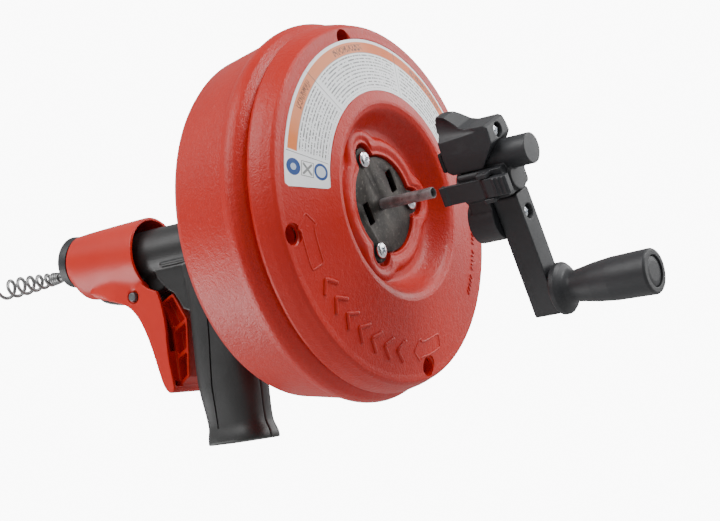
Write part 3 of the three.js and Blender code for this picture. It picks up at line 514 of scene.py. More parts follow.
# ------------------------------------------------------------------ label
def label_mat():
    mt, nt, b = node_mat("label_film_mat"); k = K(nt)
    sep = k.n("SeparateXYZ"); k.link(k.tc.outputs["Object"], sep.inputs[0])
    y, z = sep.outputs[1], sep.outputs[2]
    r = k.math("SQRT", k.math("ADD", k.math("MULTIPLY", y, y), k.math("MULTIPLY", z, z)))
    ang = k.math("MULTIPLY", k.math("ARCTAN2", z, y), 180 / math.pi)
    rm = k.math("MULTIPLY", r, 1000.0)
    R0, R1 = LAB[0], LAB[1]
    def band(v, lo, hi, soft): return k.math("MULTIPLY", k.rng(v, lo - soft, lo + soft, 0, 1), k.rng(v, hi - soft, hi + soft, 1, 0))
    white = (0.95, 0.965, 0.98)
    comb = k.n("CombineXYZ"); k.link(k.math("MULTIPLY", ang, 0.1), comb.inputs[0]); k.link(k.math("MULTIPLY", rm, 1.0), comb.inputs[1])
    # lines of unreadable print: rows at constant radius, broken into dashes
    rowv = k.math("MULTIPLY", rm, k.rng(ang, 71.0, 71.2, 0.34, 0.47))
    rows = k.math("FRACT", rowv)
    line = k.rng(rows, 0.36, 0.44, 0, 1)
    line = k.math("MULTIPLY", line, k.rng(rows, 0.74, 0.82, 1, 0))
    rowid = k.math("FLOOR", rowv)
    wv = k.n("CombineXYZ"); k.link(k.math("MULTIPLY", ang, 1.15), wv.inputs[0]); k.link(k.math("MULTIPLY", rowid, 7.31), wv.inputs[1])
    words = k.n("TexNoise"); words.noise_dimensions = "2D"; words.inputs["Scale"].default_value = 1.0; words.inputs["Detail"].default_value = 0
    k.link(wv.outputs[0], words.inputs["Vector"])
    wv2 = k.n("CombineXYZ"); k.link(k.math("MULTIPLY", ang, 5.2), wv2.inputs[0]); k.link(k.math("MULTIPLY", rowid, 3.17), wv2.inputs[1])
    let = k.n("TexNoise"); let.noise_dimensions = "2D"; let.inputs["Scale"].default_value = 1.0; let.inputs["Detail"].default_value = 0
    k.link(wv2.outputs[0], let.inputs["Vector"])
    dash = k.math("MULTIPLY", k.rng(words.outputs["Fac"], 0.40, 0.43, 0, 1), k.rng(let.outputs["Fac"], 0.30, 0.52, 0.25, 1))
    inner = band(rm, R0 + 1.6, R1 - 9.8, 0.2)
    blocks = None
    for lo, hi in ((25, 70.5), (74, 127.5), (132, 161.5)):
        bnd = band(ang, lo, hi, 0.4); blocks = bnd if blocks is None else k.math("ADD", blocks, bnd)
    ink = k.math("MULTIPLY", k.math("MULTIPLY", line, dash), k.math("MULTIPLY", inner, blocks))
    col = k.mix(k.math("MULTIPLY", ink, 0.97), white, (0.012, 0.014, 0.018))
    # band of orange near the outer edge, paler towards its left end
    ob = k.math("MULTIPLY", band(rm, R1 - 8.8, R1 - 2.0, 0.15), band(ang, 23.5, 162.5, 0.15))
    orange = k.mix(k.rng(ang, 84, 96, 0, 1), (0.72, 0.13, 0.003), (0.80, 0.25, 0.10))
    orange = k.mix(k.rng(ang, 150, 158, 0, 1), orange, (0.80, 0.19, 0.03))
    col = k.mix(ob, col, orange)
    wv3 = k.n("CombineXYZ"); k.link(k.math("MULTIPLY", ang, 2.4), wv3.inputs[0]); k.link(k.math("MULTIPLY", rm, 0.4), wv3.inputs[1])
    blk = k.n("TexNoise"); blk.noise_dimensions = "2D"; blk.inputs["Scale"].default_value = 1.0; blk.inputs["Detail"].default_value = 0
    k.link(wv3.outputs[0], blk.inputs["Vector"])
    marks = k.math("MULTIPLY", band(rm, R1 - 7.6, R1 - 3.4, 0.2), k.rng(blk.outputs["Fac"], 0.5, 0.53, 0, 1))
    where = k.math("ADD", k.math("ADD", band(ang, 40, 62, 0.3), band(ang, 93, 112, 0.3)), band(ang, 133, 146, 0.3))
    col = k.mix(k.math("MULTIPLY", k.math("MULTIPLY", marks, where), 0.85), col, (0.06, 0.03, 0.02))
    # dividing lines
    div = None
    for a in (72.2, 130.2, 163.2):
        dv = band(ang, a - 0.16, a + 0.16, 0.05); div = dv if div is None else k.math("ADD", div, dv)
    div = k.math("MULTIPLY", div, band(rm, R0 + 1.2, R1 - 1.2, 0.1))
    edge = k.math("MULTIPLY", band(rm, R1 - 9.1, R1 - 8.8, 0.08), band(ang, 23.5, 162.5, 0.1))
    col = k.mix(k.math("MULTIPLY", k.math("MINIMUM", k.math("ADD", div, edge), 1.0), 0.75), col, (0.05, 0.05, 0.06))
    # three plain signs at the left end
    for cr, ca, kind in ((R1 - 6.6, 168.5, 0), ((R0 + R1) / 2 - 0.2, 168.3, 1), (R0 + 6.6, 168.1, 2)):
        cy, cz = cr * math.cos(rad(ca)) * MM, cr * math.sin(rad(ca)) * MM
        dy, dz = k.math("SUBTRACT", y, cy), k.math("SUBTRACT", z, cz)
        if kind == 1:
            ur, ut = (math.cos(rad(ca)), math.sin(rad(ca))), (-math.sin(rad(ca)), math.cos(rad(ca)))
            a_ = k.math("ABSOLUTE", k.math("ADD", k.math("MULTIPLY", dy, ur[0]), k.math("MULTIPLY", dz, ur[1])))
            t_ = k.math("ABSOLUTE", k.math("ADD", k.math("MULTIPLY", dy, ut[0]), k.math("MULTIPLY", dz, ut[1])))
            q = k.math("MAXIMUM", a_, t_)
            frame_ = k.math("MULTIPLY", k.rng(q, 0.0040, 0.0041, 0, 1), k.rng(q, 0.0045, 0.0046, 1, 0))
            dg = k.math("ABSOLUTE", k.math("SUBTRACT", a_, t_))
            cross = k.math("MULTIPLY", k.rng(dg, 0.0009, 0.0011, 1, 0), k.rng(q, 0.0034, 0.0036, 1, 0))
            col = k.mix(k.math("MULTIPLY", k.math("MINIMUM", k.math("ADD", frame_, cross), 1.0), 0.8), col, (0.07, 0.08, 0.08))
        else:
            d = k.math("SQRT", k.math("ADD", k.math("MULTIPLY", dy, dy), k.math("MULTIPLY", dz, dz)))
            disc = k.rng(d, 0.0050, 0.0051, 1, 0)
            hole = k.rng(d, 0.0034, 0.0035, 1, 0) if kind == 2 else k.math("MULTIPLY", k.rng(d, 0.0020, 0.0021, 1, 0), 1.0)
            col = k.mix(disc, col, (0.012, 0.06, 0.25)); col = k.mix(hole, col, (0.60, 0.66, 0.76) if kind == 2 else (0.45, 0.54, 0.70))
    dirt = k.noise(40, 5, 0.7)
    col = k.mix(k.rng(dirt, 0.5, 0.8, 0.0, 0.12), col, (0.45, 0.42, 0.38))
    k.link(col, b.inputs["Base Color"])
    k.link(k.rng(k.noise(90, 3, 0.6), 0.3, 0.7, 0.42, 0.5), b.inputs["Roughness"])
    b.inputs["Specular IOR Level"].default_value = 0.3; b.inputs["Coat Weight"].default_value = 0.06; b.inputs["Coat Roughness"].default_value = 0.2
    k.link(k.bump(k.noise(160, 3, 0.5), 0.12, 0.0004), b.inputs["Normal"])
    return mt
label = arc_strip("label", LAB[0], LAB[1], LAB[2], LAB[3], -0.4, -0.16, 2.0, 260, 12)
smooth(label, 40)
piece(label, "drum", label_mat(), "label_film", "info_label")

# ------------------------------------------------------------------ marks raised on the cover
def bead(name, pts, w=0.75, closed=True, sink=0.32):
    """Rounded bead lying on the conical face; pts are [r, angle]."""
    out = []
    for r, a in pts:
        y, z = polar(r, a); out.append((slope(r) - sink, y, z))
    ob = sweep(name, out, w, 8, closed)
    ob.data.shade_smooth(); return ob
def polyline(corners, step=1.2, closed=True):
    """[r, angle] corners joined by nearly straight lines with small rounded corners."""
    P = [polar(r, a) for r, a in corners]; n = len(P); out = []
    for i in range(n if closed else n - 1):
        p, q = Vector(P[i]), Vector(P[(i + 1) % n]); L = (q - p).length; m_ = max(2, int(L / step))
        for j in range(m_): out.append(tuple(p.lerp(q, j / m_)))
    if not closed: out.append(P[-1])
    for _ in range(2):
        out = [tuple((Vector(out[(i - 1) % len(out)]) + Vector(out[i]) * 2 + Vector(out[(i + 1) % len(out)])) / 4) if closed or 0 < i < len(out) - 1 else out[i] for i in range(len(out))]
    return [(math.hypot(a, b), math.degrees(math.atan2(b, a)) % 360) for a, b in out]
def arrow(name, tip, tail, half_head, half_body, neck):
    """Outlined arrow bent along the face: tip and tail are [r, angle]; neck is the share of length taken by the head."""
    (rt, at), (rb, ab) = tip, tail
    an = at + (ab - at) * neck; rn = rt + (rb - rt) * neck
    corners = [(rt, at), (rn + half_head, an), (rn + half_body, an)]
    for i in range(1, 6): t = i / 6; corners.append((rn + half_body + (rb - rn) * t, an + (ab - an) * t))
    corners += [(rb + half_body, ab), (rb - half_body, ab)]
    for i in range(5, 0, -1): t = i / 6; corners.append((rn - half_body + (rb - rn) * t, an + (ab - an) * t))
    corners += [(rn - half_body, an), (rn - half_head, an)]
    return bead(name, polyline(corners))
piece(arrow("arrow_mark_1", (89.9, 185.1), (92, 205.2), 7.4, 4.9, 0.27), "drum", RED, "red_plastic")
piece(arrow("arrow_mark_2", (90.8, 271.4), (90.6, 290.6), 7.4, 4.6, 0.26), "drum", RED, "red_plastic")
for i in range(7):
    a = 212.6 + i * 8.3
    piece(bead(f"chevron_mark_{i + 1}", polyline([(96.8, a + 2.3), (90.8, a - 2.2), (84.6, a + 2.6)], 0.8, False), 1.35, False, 0.15), "drum", RED, "red_plastic")
random.seed(4)
for i in range(17):
    a = 323.5 + i * 1.75; r = 93.6 - 0.16 * i
    if i in (5, 11): continue
    d = random.uniform(-0.5, 0.5)
    piece(bead(f"dash_mark_{i + 1}", polyline([(r + 1.5, a + d), (r - 1.5, a - d)], 0.5, False), 0.75, False, -0.05), "drum", RED, "red_plastic")

# ------------------------------------------------------------------ hub
CRANK_ANG, CRANK_X = -67.1, 60
CR = RX(CRANK_ANG + 90)
tbl = lobed_table(29.0, 7.2, 0.0, 720, 2)
plate = prism("hub_plate_piece", [(tbl[i] * math.cos(rad(i / 2)), tbl[i] * math.sin(rad(i / 2))) for i in range(720)], -2.5, 0.0)
SLOTS = [(17.4, -8.5), (-17.4, -0.5)]
for t, r in SLOTS:
    cut(plate, move(prism("slot", rrect(t - 3.2, t + 3.2, -r - 6.9, -r + 6.9, 0.8, 3), -6, 6), CR))
cut(plate, rod(-5, 5, 3.75))
for a in HUB_A: y, z = polar(HUB_R, a); cut(plate, crod((0, y, z), -5, 5, 2.3))
bevel(plate, 0.3, 2, 40)
piece(plate, "drum", PLATE, "dark_steel", "hub_plate")
shaft = lathe("shaft", fillet([(-10, 2.1), (-10, 6.45), (-2.8, 6.45), (-2.8, 3.45), (0.2, 3.45), (0.6, 3.45), (1.6, 3.45), (2.2, 3.45), (36.4, 3.45), (37, 2.95), (36.6, 2.75), (16, 2.6), (15, 2.1)],
              [0, 0, 0, 0, 0, 0.3, 0.3, 0.4, 0.5, 0.2, 0.2, 0, 0], 4), 64)
smooth(shaft, 40); piece(shaft, "drum", SHAFT, "shaft_steel", "drive_shaft")

def screw(name, x, r, h, r_shank, length, seg=64, depth=1.7):
    """Pan head screw with a cross recess; head underside at x, pointing +X."""
    prof = [(x - length, 0), (x - length, r_shank * 0.6), (x - length + 1.2, r_shank)]
    xx = x - length + 1.2
    while xx < x - 2.4:
        prof += [(xx + 0.45, r_shank + 0.32), (xx + 0.9, r_shank)]; xx += 0.9
    prof += [(x, r_shank), (x, r - 0.25), (x + 0.25, r), (x + h * 0.42, r)]
    for i in range(1, 9):
        t = i / 8; prof.append((x + h * 0.42 + h * 0.58 * math.sin(t * math.pi / 2), r * math.cos(t * math.pi / 2 * 0.985) if i < 8 else 0))
    ob = lathe(name, prof, seg, (0, 0, 0), False)
    for k_ in range(2):
        w = 0.52 * r / 4
        arm_ = place(prism("x", [(x + h + 1, -w * 1.25 - 0.3), (x + h + 1, w * 1.25 + 0.3), (x + h - depth, w * 0.7), (x + h - depth, -w * 0.7)], -r * 0.52, r * 0.52, "XZ"), (0, 0, 0), (k_ * 90, 0, 0))
        cut(ob, arm_)
    cut(ob, lathe("c", [(x + h + 1, 0), (x + h + 1, r * 0.36), (x + h - depth, r * 0.16), (x + h - depth, 0)], 24, (0, 0, 0), False))
    return smooth(ob, 30)
for i, a in enumerate(HUB_A):
    y, z = polar(HUB_R, a)
    s_ = screw("hub_screw", 0.3, 5.0, 2.75, 1.75, 12.8); s_.name = f"hub_screw_piece_{i + 1}"
    place(s_, (0, y, z), (20 + 37 * i, 0, 0)); piece(s_, "drum", ZINC, "zinc_steel", f"hub_screw_{i + 1}")
for i, a in enumerate(COV_A):
    y, z = polar(COV_R, a)
    s_ = screw("cover_screw", -8.7, 3.95, 2.2, 1.6, 13.8); s_.name = f"cover_screw_piece_{i + 1}"
    place(s_, (0, y, z), (11 + 29 * i, 0, 0)); piece(s_, "drum", ZINC, "zinc_steel", f"cover_screw_{i + 1}")

# ------------------------------------------------------------------ cable
WIRE_TURN = 1.25
def winding(name, x0, x1, r, pitch, rows=3):
    """Cable of closely wound wire: a helical ridge round a core, closed at both ends."""
    seg = 28; n = int(round((x1 - x0) / pitch)); m_ = n * rows * 2
    verts, faces = [], []
    for i in range(m_ + 1):
        for j in range(seg):
            ph = (i / (rows * 2) + j / seg) % 1.0
            rr = r - 0.42 * (1 - math.sqrt(max(0, 1 - (2 * ph - 1) ** 2)))
            x = x0 + (x1 - x0) * i / m_
            verts.append((x, rr * math.cos(2 * math.pi * j / seg), rr * math.sin(2 * math.pi * j / seg)))
    for i in range(m_):
        for j in range(seg):
            k_ = (j + 1) % seg; faces.append((i * seg + j, i * seg + k_, (i + 1) * seg + k_, (i + 1) * seg + j))
    faces += [tuple(range(seg))[::-1], tuple(range(m_ * seg, (m_ + 1) * seg))]
    return new_obj(name, verts, faces)
lead = winding("cable_lead_piece", -264, -112, 3.15, 1.1); smooth(lead, 60)
piece(lead, "cable", WIRE, "cable_steel", "cable_lead")
pts = []
for i in range(381):
    if i < 140: t = i / 140; x = -265.3 - 6.4 * t; r = 2.5 + 0.9 * t; a = 2 * math.pi * 4.0 * t
    else: t = (i - 140) / 240; x = -271.7 - 46.3 * (0.80 * t + 0.20 * t * t); r = 3.4 + 2.3 * min(1, t * 1.5) - 0.5 * max(0, t - 0.8); a = 2 * math.pi * (4.0 + 5.45 * t)
    pts.append((x, r * math.cos(a), -r * math.sin(a)))
auger = sweep("auger_piece", pts, 1.25, 12); smooth(auger, 50)
piece(auger, "cable", WIRE, "cable_steel", "auger_tip")

# ------------------------------------------------------------------ nose ring and trigger
NOSE_Z, NOSE_TILT = 6.8, 10
nose = lathe("nose", fillet([(-8.4, 13.3), (-8.4, 15.5), (-7.0, 17.0), (-0.45, 17.25), (-0.45, 13.9), (2.2, 13.9), (2.2, 12.8), (-4, 12.8)],
             [0.3, 0.8, 1.4, 0.4, 0.1, 0.2, 0.2, 1.0], 5), 120)
smooth(nose, 40); place(nose, (-243.7, 0, NOSE_Z), (0, NOSE_TILT, 0)); piece(nose, "trigger", BLACK, "black_plastic", "nose_ring")

PIN = (-190, 0, -25.3)
sleeveRows = [[-243.5, 17.2, 24.0, -10.4, 1], [-238, 17.8, 24.3, -17.6, 0.8], [-232, 18.5, 24.6, -20.2, 0.5],
              [-215, 20.3, 25.1, -21.4, 0], [-198, 22.5, 25.5, -23, 0], [-181, 24.6, 25.8, -23.8, 0]]
tanT = math.tan(rad(NOSE_TILT))
def sleeve_at(x, a, k, off):
    w0, top0, bot0, sl = table(sleeveRows, x)
    w, top, bot, zc = w0 - off, top0 - off, bot0 + off, top0 - w0
    z = zc + k * ((top - zc) if math.sin(a) > 0 else (zc - bot)) * math.sin(a)
    return (x + sl * tanT * (z - NOSE_Z), k * w * math.cos(a), z)
outer = lambda: loft("outer", lambda s_, a, k: sleeve_at(-243.5 + 62.5 * (1 - s_), a, k, 0), 48, 128)
inner = lambda: loft("inner", lambda s_, a, k: sleeve_at(-243.5 + 2.4 + 64 * (1 - s_), a, k, 2.2), 48, 128)
leverSide = smooth_pts([(-231, -13.5), (-227.5, -19.4), (-221, -22.4), (-214, -24.2), (-205, -26.6), (-197.5, -29.6), (-192.5, -33.6), (-187.6, -40), (-183.4, -50),
    (-180, -62), (-177.2, -75), (-174.6, -86), (-170.5, -91.5), (-166, -90), (-166.4, -82), (-167.6, -70), (-167.4, -58), (-166.6, -50), (-166.9, -42), (-167.8, -34), (-169.2, -28), (-170.2, -24.7),
    (-173.5, -23.6), (-177, -22.0), (-183, -17.2), (-187, -14)], 2)
leverIn = [(-222, -8), (-214, -18), (-196, -24), (-189.8, -34.4), (-185, -41.4), (-180.9, -51), (-177.5, -62.6), (-174.7, -75.6), (-172.4, -85.6), (-160, -88), (-160, -8)]
trig = cut(outer(), inner())
lever = cut(sideways(leverSide, -17, 17), sideways(leverIn, -14.4, 14.4))
for side in (1, -1):                                      # the cheeks run out flush with the taper of the nose
    lever = cut(lever, place(bx(-40, 2, *sorted((0, side * 10)), -35, 2), (-205, side * 17.1, -5), (0, 0, side * 9.5)))
lever = cut(lever, inner())
trig = uni(trig, lever)
trig = cut(trig, sideways([(-231, -12), (-231, -29), (-214, -31.5), (-203, -33.5), (-196, -36), (-188, -38), (-160, -38), (-160, -12)], -10.2, 10.2),
           crod((-243.5, 0, NOSE_Z), -12, 12, 14.3, (0, NOSE_TILT, 0), 96))
ribbox = sideways([(-182.4, -50), (-174.4, -31.2), (-164.4, -27.2), (-155.6, -45.4), (-157.6, -64), (-160, -82), (-168, -87), (-175.4, -82)], -8, 8)
for c in ([(-172.8, -32.8), (-165.2, -29.6), (-157.6, -45.2), (-166.6, -49.0)], [(-167.2, -52.2), (-157.4, -47.6), (-159.4, -63.4), (-166.8, -66.6)],
          [(-166.8, -69.6), (-159.6, -66.4), (-161.6, -80.6), (-167.2, -84.0)], [(-169.2, -50.4), (-169, -83.2), (-173.4, -80.4), (-180.0, -50.8), (-174.6, -36.4)]):
    ribbox = cut(ribbox, sideways(c, 0.9, 9), sideways(c, -9, -0.9))
trig = uni(trig, ribbox, sideways([(-180, -64), (-175.6, -83), (-168.2, -83), (-169, -64)], -14.6, 14.6))
ROLLER_X, UZ, SKEW = -225, 14, 25
for side in (-1, 1):
    l_ = place(bx(6.6 if side > 0 else -10.6, 10.6 if side > 0 else -6.6, -4, 4, -3.2, 11), (ROLLER_X, 0, UZ), (0, 0, SKEW))
    trig = uni(trig, common(l_, outer()))
trig = cut(trig, crod((ROLLER_X, 0, UZ), -11, 11, 1.7, (0, 0, SKEW)), crod(PIN, -30, 30, 3.0, (0, 0, 90)),
           crod(PIN, 9.8, 14.4, 5.3, (0, 0, 90)), crod((PIN[0], -15.5, PIN[2]), -4, 0, 4.5, (0, 0, 90)))
soften(trig, 0.5, 3)
def relax(ob, weight, it):
    """Smooths only where weight(x, y, z) is above nothing."""
    vg = ob.vertex_groups.new(name="relax")
    for v in ob.data.vertices:
        w_ = weight(*(v.co / MM))
        if w_ > 0.01: vg.add([v.index], w_, "REPLACE")
    md = ob.modifiers.new("s", "SMOOTH"); md.factor = 0.5; md.iterations = it; md.vertex_group = "relax"
    bake(ob); ob.data.shade_smooth(); return ob
def crease(x, y, z):
    if abs(y) < (15.2 if x > -206 else 12.4): return 0
    ax, az, bx_, bz = -220.0, -17.2, -190.0, -13.5
    t = max(0, min(1, ((x - ax) * (bx_ - ax) + (z - az) * (bz - az)) / ((bx_ - ax) ** 2 + (bz - az) ** 2)))
    d = math.hypot(x - ax - t * (bx_ - ax), z - az - t * (bz - az))
    return max(0, min(1, (8.5 - d) / 3.5))
relax(trig, crease, 300)
trig.name = "trigger_sleeve_piece"
piece(trig, "trigger", RED_SLEEVE, "red_plastic", "trigger_sleeve")
pin = lathe("pin", fillet([(-18.3, 0), (-18.3, 2.0), (-18.1, 2.9), (-15.9, 3.0), (-15.9, 2.9), (-15.7, 2.7), (18.4, 2.7), (19.2, 2.2), (19.2, 0)], [0, 0.4, 0.8, 0.3, 0.1, 0, 0.2, 0.3, 0], 4), 64, (0, 0, 0), False)
smooth(pin, 40); place(pin, PIN, (0, 0, 90))
PINMAT = metal("pin_mat", (0.09, 0.095, 0.10), (0.15, 0.155, 0.16), (0.42, 0.55), 900, (1, 1, 1), 150, 0.12, 0.6)
piece(pin, "handle", PINMAT, "shaft_steel", "trigger_pin")

def coil(name, x0, x1, r, wire, turns, seg=10, per=28, flat_ends=True):
    pts = []; n = int(turns * per)
    for i in range(n + 1):
        t = i / n
        u = t
        if flat_ends:
            e = 0.9 / turns
            u = 0 if t < e else 1 if t > 1 - e else (t - e) / (1 - 2 * e)
            u = u * (1 - 2 * wire * 0.9 * 2 / (x1 - x0) * 0) 
        x = x0 + wire + (x1 - x0 - 2 * wire) * (0.08 * t + 0.92 * u)
        a = 2 * math.pi * turns * t; pts.append((x, r * math.cos(a), r * math.sin(a)))
    ob = sweep(name, pts, wire, seg); smooth(ob, 60); return ob
sp = coil("trigger_spring_piece", 10.5, 13.9, 4.05, 0.5, 3.2, 8, 28, False); place(sp, PIN, (0, 0, 90)); piece(sp, "handle", STEEL, "shaft_steel", "trigger_return_spring")

# ------------------------------------------------------------------ handle
NECK_R, GAP, BOT = 17.5, 0.3, -128
gripRows = [[-128, -129, 21.5, 18.2], [-124, -129, 21.3, 18], [-116, -129.8, 19.6, 16.6], [-90, -131.5, 21.2, 17.4],
            [-65, -132, 20.6, 17], [-42, -132.1, 20.2, 16.2], [-24, -131.5, 22, 15.6], [-8, -131.5, 27, 15]]
def sgnp(v, e): return math.copysign(abs(v) ** e, v)
def grip_fn(z0, z1, off):
    def fn(s_, a, k):
        z = z0 + (z1 - z0) * (1 - s_)
        xc, hx, hy = table(gripRows, z)
        return (xc + k * (hx - off) * sgnp(math.cos(a), 0.64), k * (hy - off) * sgnp(math.sin(a), 0.64), z)
    return fn
neck_b = lambda: lathe("neck", [(-203, 0), (-203, 15.5), (-201, NECK_R), (-64, NECK_R), (-64, 0)], 128, (0, 0, 0), False)
grip_b = lambda: loft("grip", grip_fn(-8, BOT, 0), 60, 96)
lug = sideways(smooth_pts([(-228, -18), (-224, -23.5), (-214, -27), (-200, -29.5), (-190, -31), (-182, -29), (-174, -23.5), (-160, -22),
      (-150, -24), (-146, -30), (-146, -10), (-203, -10), (-208, -15)], 1), -9, 9)
body = uni(neck_b(), grip_b(), lug)
for side in (1, -1):
    web = [(-150, -8), (-174, -8), (-171, -16), (-168, -20), (-163.4, -25), (-158.8, -28), (-155.8, -33), (-153, -39), (-148, -41)]
    body = uni(body, sideways(web, *sorted((side * 9.6, side * 13.6))))
    body = uni(body, place(lathe("bead", [(0, 0), (1.0, 0.7), (1.3, 1.0), (58.5, 1.0), (60, 0.7), (60, 0)], 24, (0, 0, 0), False), (-166, side * 15.7, -8.9)))
body = cut(body, rod(-240, -50, 7.3, 64), bx(-213, -198.5, -20, 20, -16.5, 25), crod(PIN, -15, 15, 3.0, (0, 0, 90)))
hollow = lambda: loft("hollow", grip_fn(-34, BOT + 4, 3), 24, 64)
SCR = [("grip_screw_top", -96, -11.5), ("grip_screw_middle", -133, -52), ("grip_screw_bottom", -129, -108)]
for name, y0, y1, node in (("right", GAP / 2, 60, "grip_right_shell"), ("left", -60, -GAP / 2, "grip_left_shell")):
    half = common(copy(body), bx(-240, -50, y0, y1, -140, 60))
    half = cut(half, hollow())
    for sn, x, z in SCR:
        s0, s1 = (GAP / 2, 14.6) if name == "right" else (-14.6, -GAP / 2)
        half = uni(half, common(crod((x, 0, z), s0, s1, 5.2, (0, 0, 90)), uni(grip_b(), neck_b())))
        if name == "right": half = cut(half, crod((x, 0, z), 9, 30, 4.2, (0, 0, 90)), crod((x, 0, z), -2, 20, 2, (0, 0, 90)))
        else: half = cut(half, crod((x, 0, z), -10, 2, 2, (0, 0, 90)))
    half = cut(half, rod(-240, -50, 7.3, 64))
    soften(half, 0.7, 3)
    if name == "left":
        half = cut(half, sideways([(-130.6, -30), (-131.8, -30), (-133.2, -60), (-136.0, -92), (-136.0, -118), (-134.8, -118), (-134.8, -92), (-132.0, -60)], -19.6, -15.7)); smooth(half, 40)
    half.name = f"grip_{name}_piece"
    piece(half, "handle", BLACK_GRIP, "black_plastic", node)
drop(body)
for sn, x, z in SCR:
    s_ = screw(sn + "_piece", 9.3, 3.7, 2.4, 1.5, 17.6); place(s_, (x, 0, z), (0, 0, 90)); piece(s_, "handle", ZINC, "zinc_steel", sn)

# ------------------------------------------------------------------ crank
def C(ob): return move(ob, T(CRANK_X, 0, 0) @ CR)
CRAD = 74
hub = uni(along(rrect(-13, 13, -9, 9.6, 3), 3, 34), rod(-1, 36, 9.5), crod((0, 0, -23.5), 0, 17.4, 13.5, seg=96), bx(3, 17.4, -11, 11, -24, -6),
          crod((0, 0, 13), 4, 50, 9.2), bx(8, 20, -5, 5, 12, 33))
hub = cut(hub, rod(-5, 33, 3.85), crod((0, 0, -23.5), -5, 12, 11), crod((0, 0, -23.5), -5, 60, 2.1), crod((0, 0, 28), 5, 40, 2.1))
LX, LY = 24, 18
PRONG_Z = (8.5, 0.5)
def yy(side, a, b): return (a, b) if side > 0 else (-b, -a)
for i, zc in enumerate(PRONG_Z):
    sd = 1 if i == 0 else -1
    p_, e_ = yy(sd, 11, 14.8), yy(sd, 13.3, 21.4); q_ = yy(sd, 13.3, 14.8)
    hub = uni(hub, bx(18, 34, *q_, max(-9, zc - 8.9), zc + 8.9), bx(18, 34, *p_, max(-9, zc - 8.9), 9.6), bx(20.4, 27.6, *e_, zc + 6.2, zc + 8.9), bx(20.4, 27.6, *e_, zc - 8.9, zc - 6.2))
    hub = cut(hub, crod((LX, sd * LY, zc), -12, 12, 1.6, (0, 90, 0)), crod((31, 0, min(zc, 5.5)), 10.2, 16, 2.5, (0, 0, sd * 90)))
soften(hub, 0.42, 3); C(hub); hub.name = "crank_hub_piece"
piece(hub, "crank", BLACK, "black_plastic", "crank_hub")
blockSide = [(-1.6, 12.2), (-1.2, 43.6), (0.6, 45.3), (3.6, 45.6), (6.6, 44.6), (10.0, 40.6), (13.6, 36.6), (18.0, 35.0), (31, 35.0), (33, 33.2), (33, 23.5), (22, 10.2), (1, 10.2)]
def section(z):
    """Outline of the block seen along the axis: the near side has a crease."""
    return [(-11.6, 8), (-12.4, 14), (-13.0, 20.4), (-12.95, 21.6), (-11.9, 33), (-10.6, 42), (-8.4, 45.7), (0.5, 45.7), (5.5, 43.2), (9.8, 36), (13, 26), (13, 8)]
block = common(sideways(blockSide, -13, 13), along(smooth_pts(section(0), 1), -6, 50))
block = uni(block, crod((0, -6.8, 38.6), -2.4, 2, 3.2))
def cone_scoop():
    """Hollow for the thumb: a cone lying on the near upper corner, with its point at the back."""
    verts, faces, seg, n = [], [], 64, 20
    for i in range(n + 1):
        t = i / n; r = 13.0 * (1 - t) ** 0.95 + 0.3
        cx, cy, cz = -5 + 31.5 * t, -18.4 + 6.0 * t, 42.4 - 9.6 * t
        verts += [(cx, cy + r * math.cos(2 * math.pi * j / seg), cz + r * math.sin(2 * math.pi * j / seg)) for j in range(seg)]
    for i in range(n):
        for j in range(seg):
            k_ = (j + 1) % seg; faces.append((i * seg + j, i * seg + k_, (i + 1) * seg + k_, (i + 1) * seg + j))
    faces += [tuple(range(seg))[::-1], tuple(range(n * seg, (n + 1) * seg))]
    return new_obj("scoop", verts, faces)
block = cut(block, cone_scoop())
block = cut(block, crod((0, 0, 13), -5, 60, 9.5), rod(-5, 60, 9.8), bx(7.7, 20.3, -5.3, 5.3, 9, 33.3), crod((0, 0, 28), 15, 60, 2.1), crod((0, 0, 28), 29, 60, 4.4))
soften(block, 0.38, 4); C(block); block.name = "crank_block_piece"
piece(block, "crank", BLACK, "black_plastic", "crank_hub_block")
bs = screw("block_screw_piece", 29.3, 4, 2.4, 1.5, 18); place(bs, (0, 0, 28)); C(bs); piece(bs, "crank", ZINC, "zinc_steel", "block_screw")
pad = along(rrect(-12.4, -5.4, 12.6, 24.6, 1.5, 6), -4.2, -1.9); bevel(pad, 0.5, 3); C(pad); pad.name = "foot_pad_piece"
piece(pad, "crank", RUBBER, "pad_rubber", "crank_foot_pad")
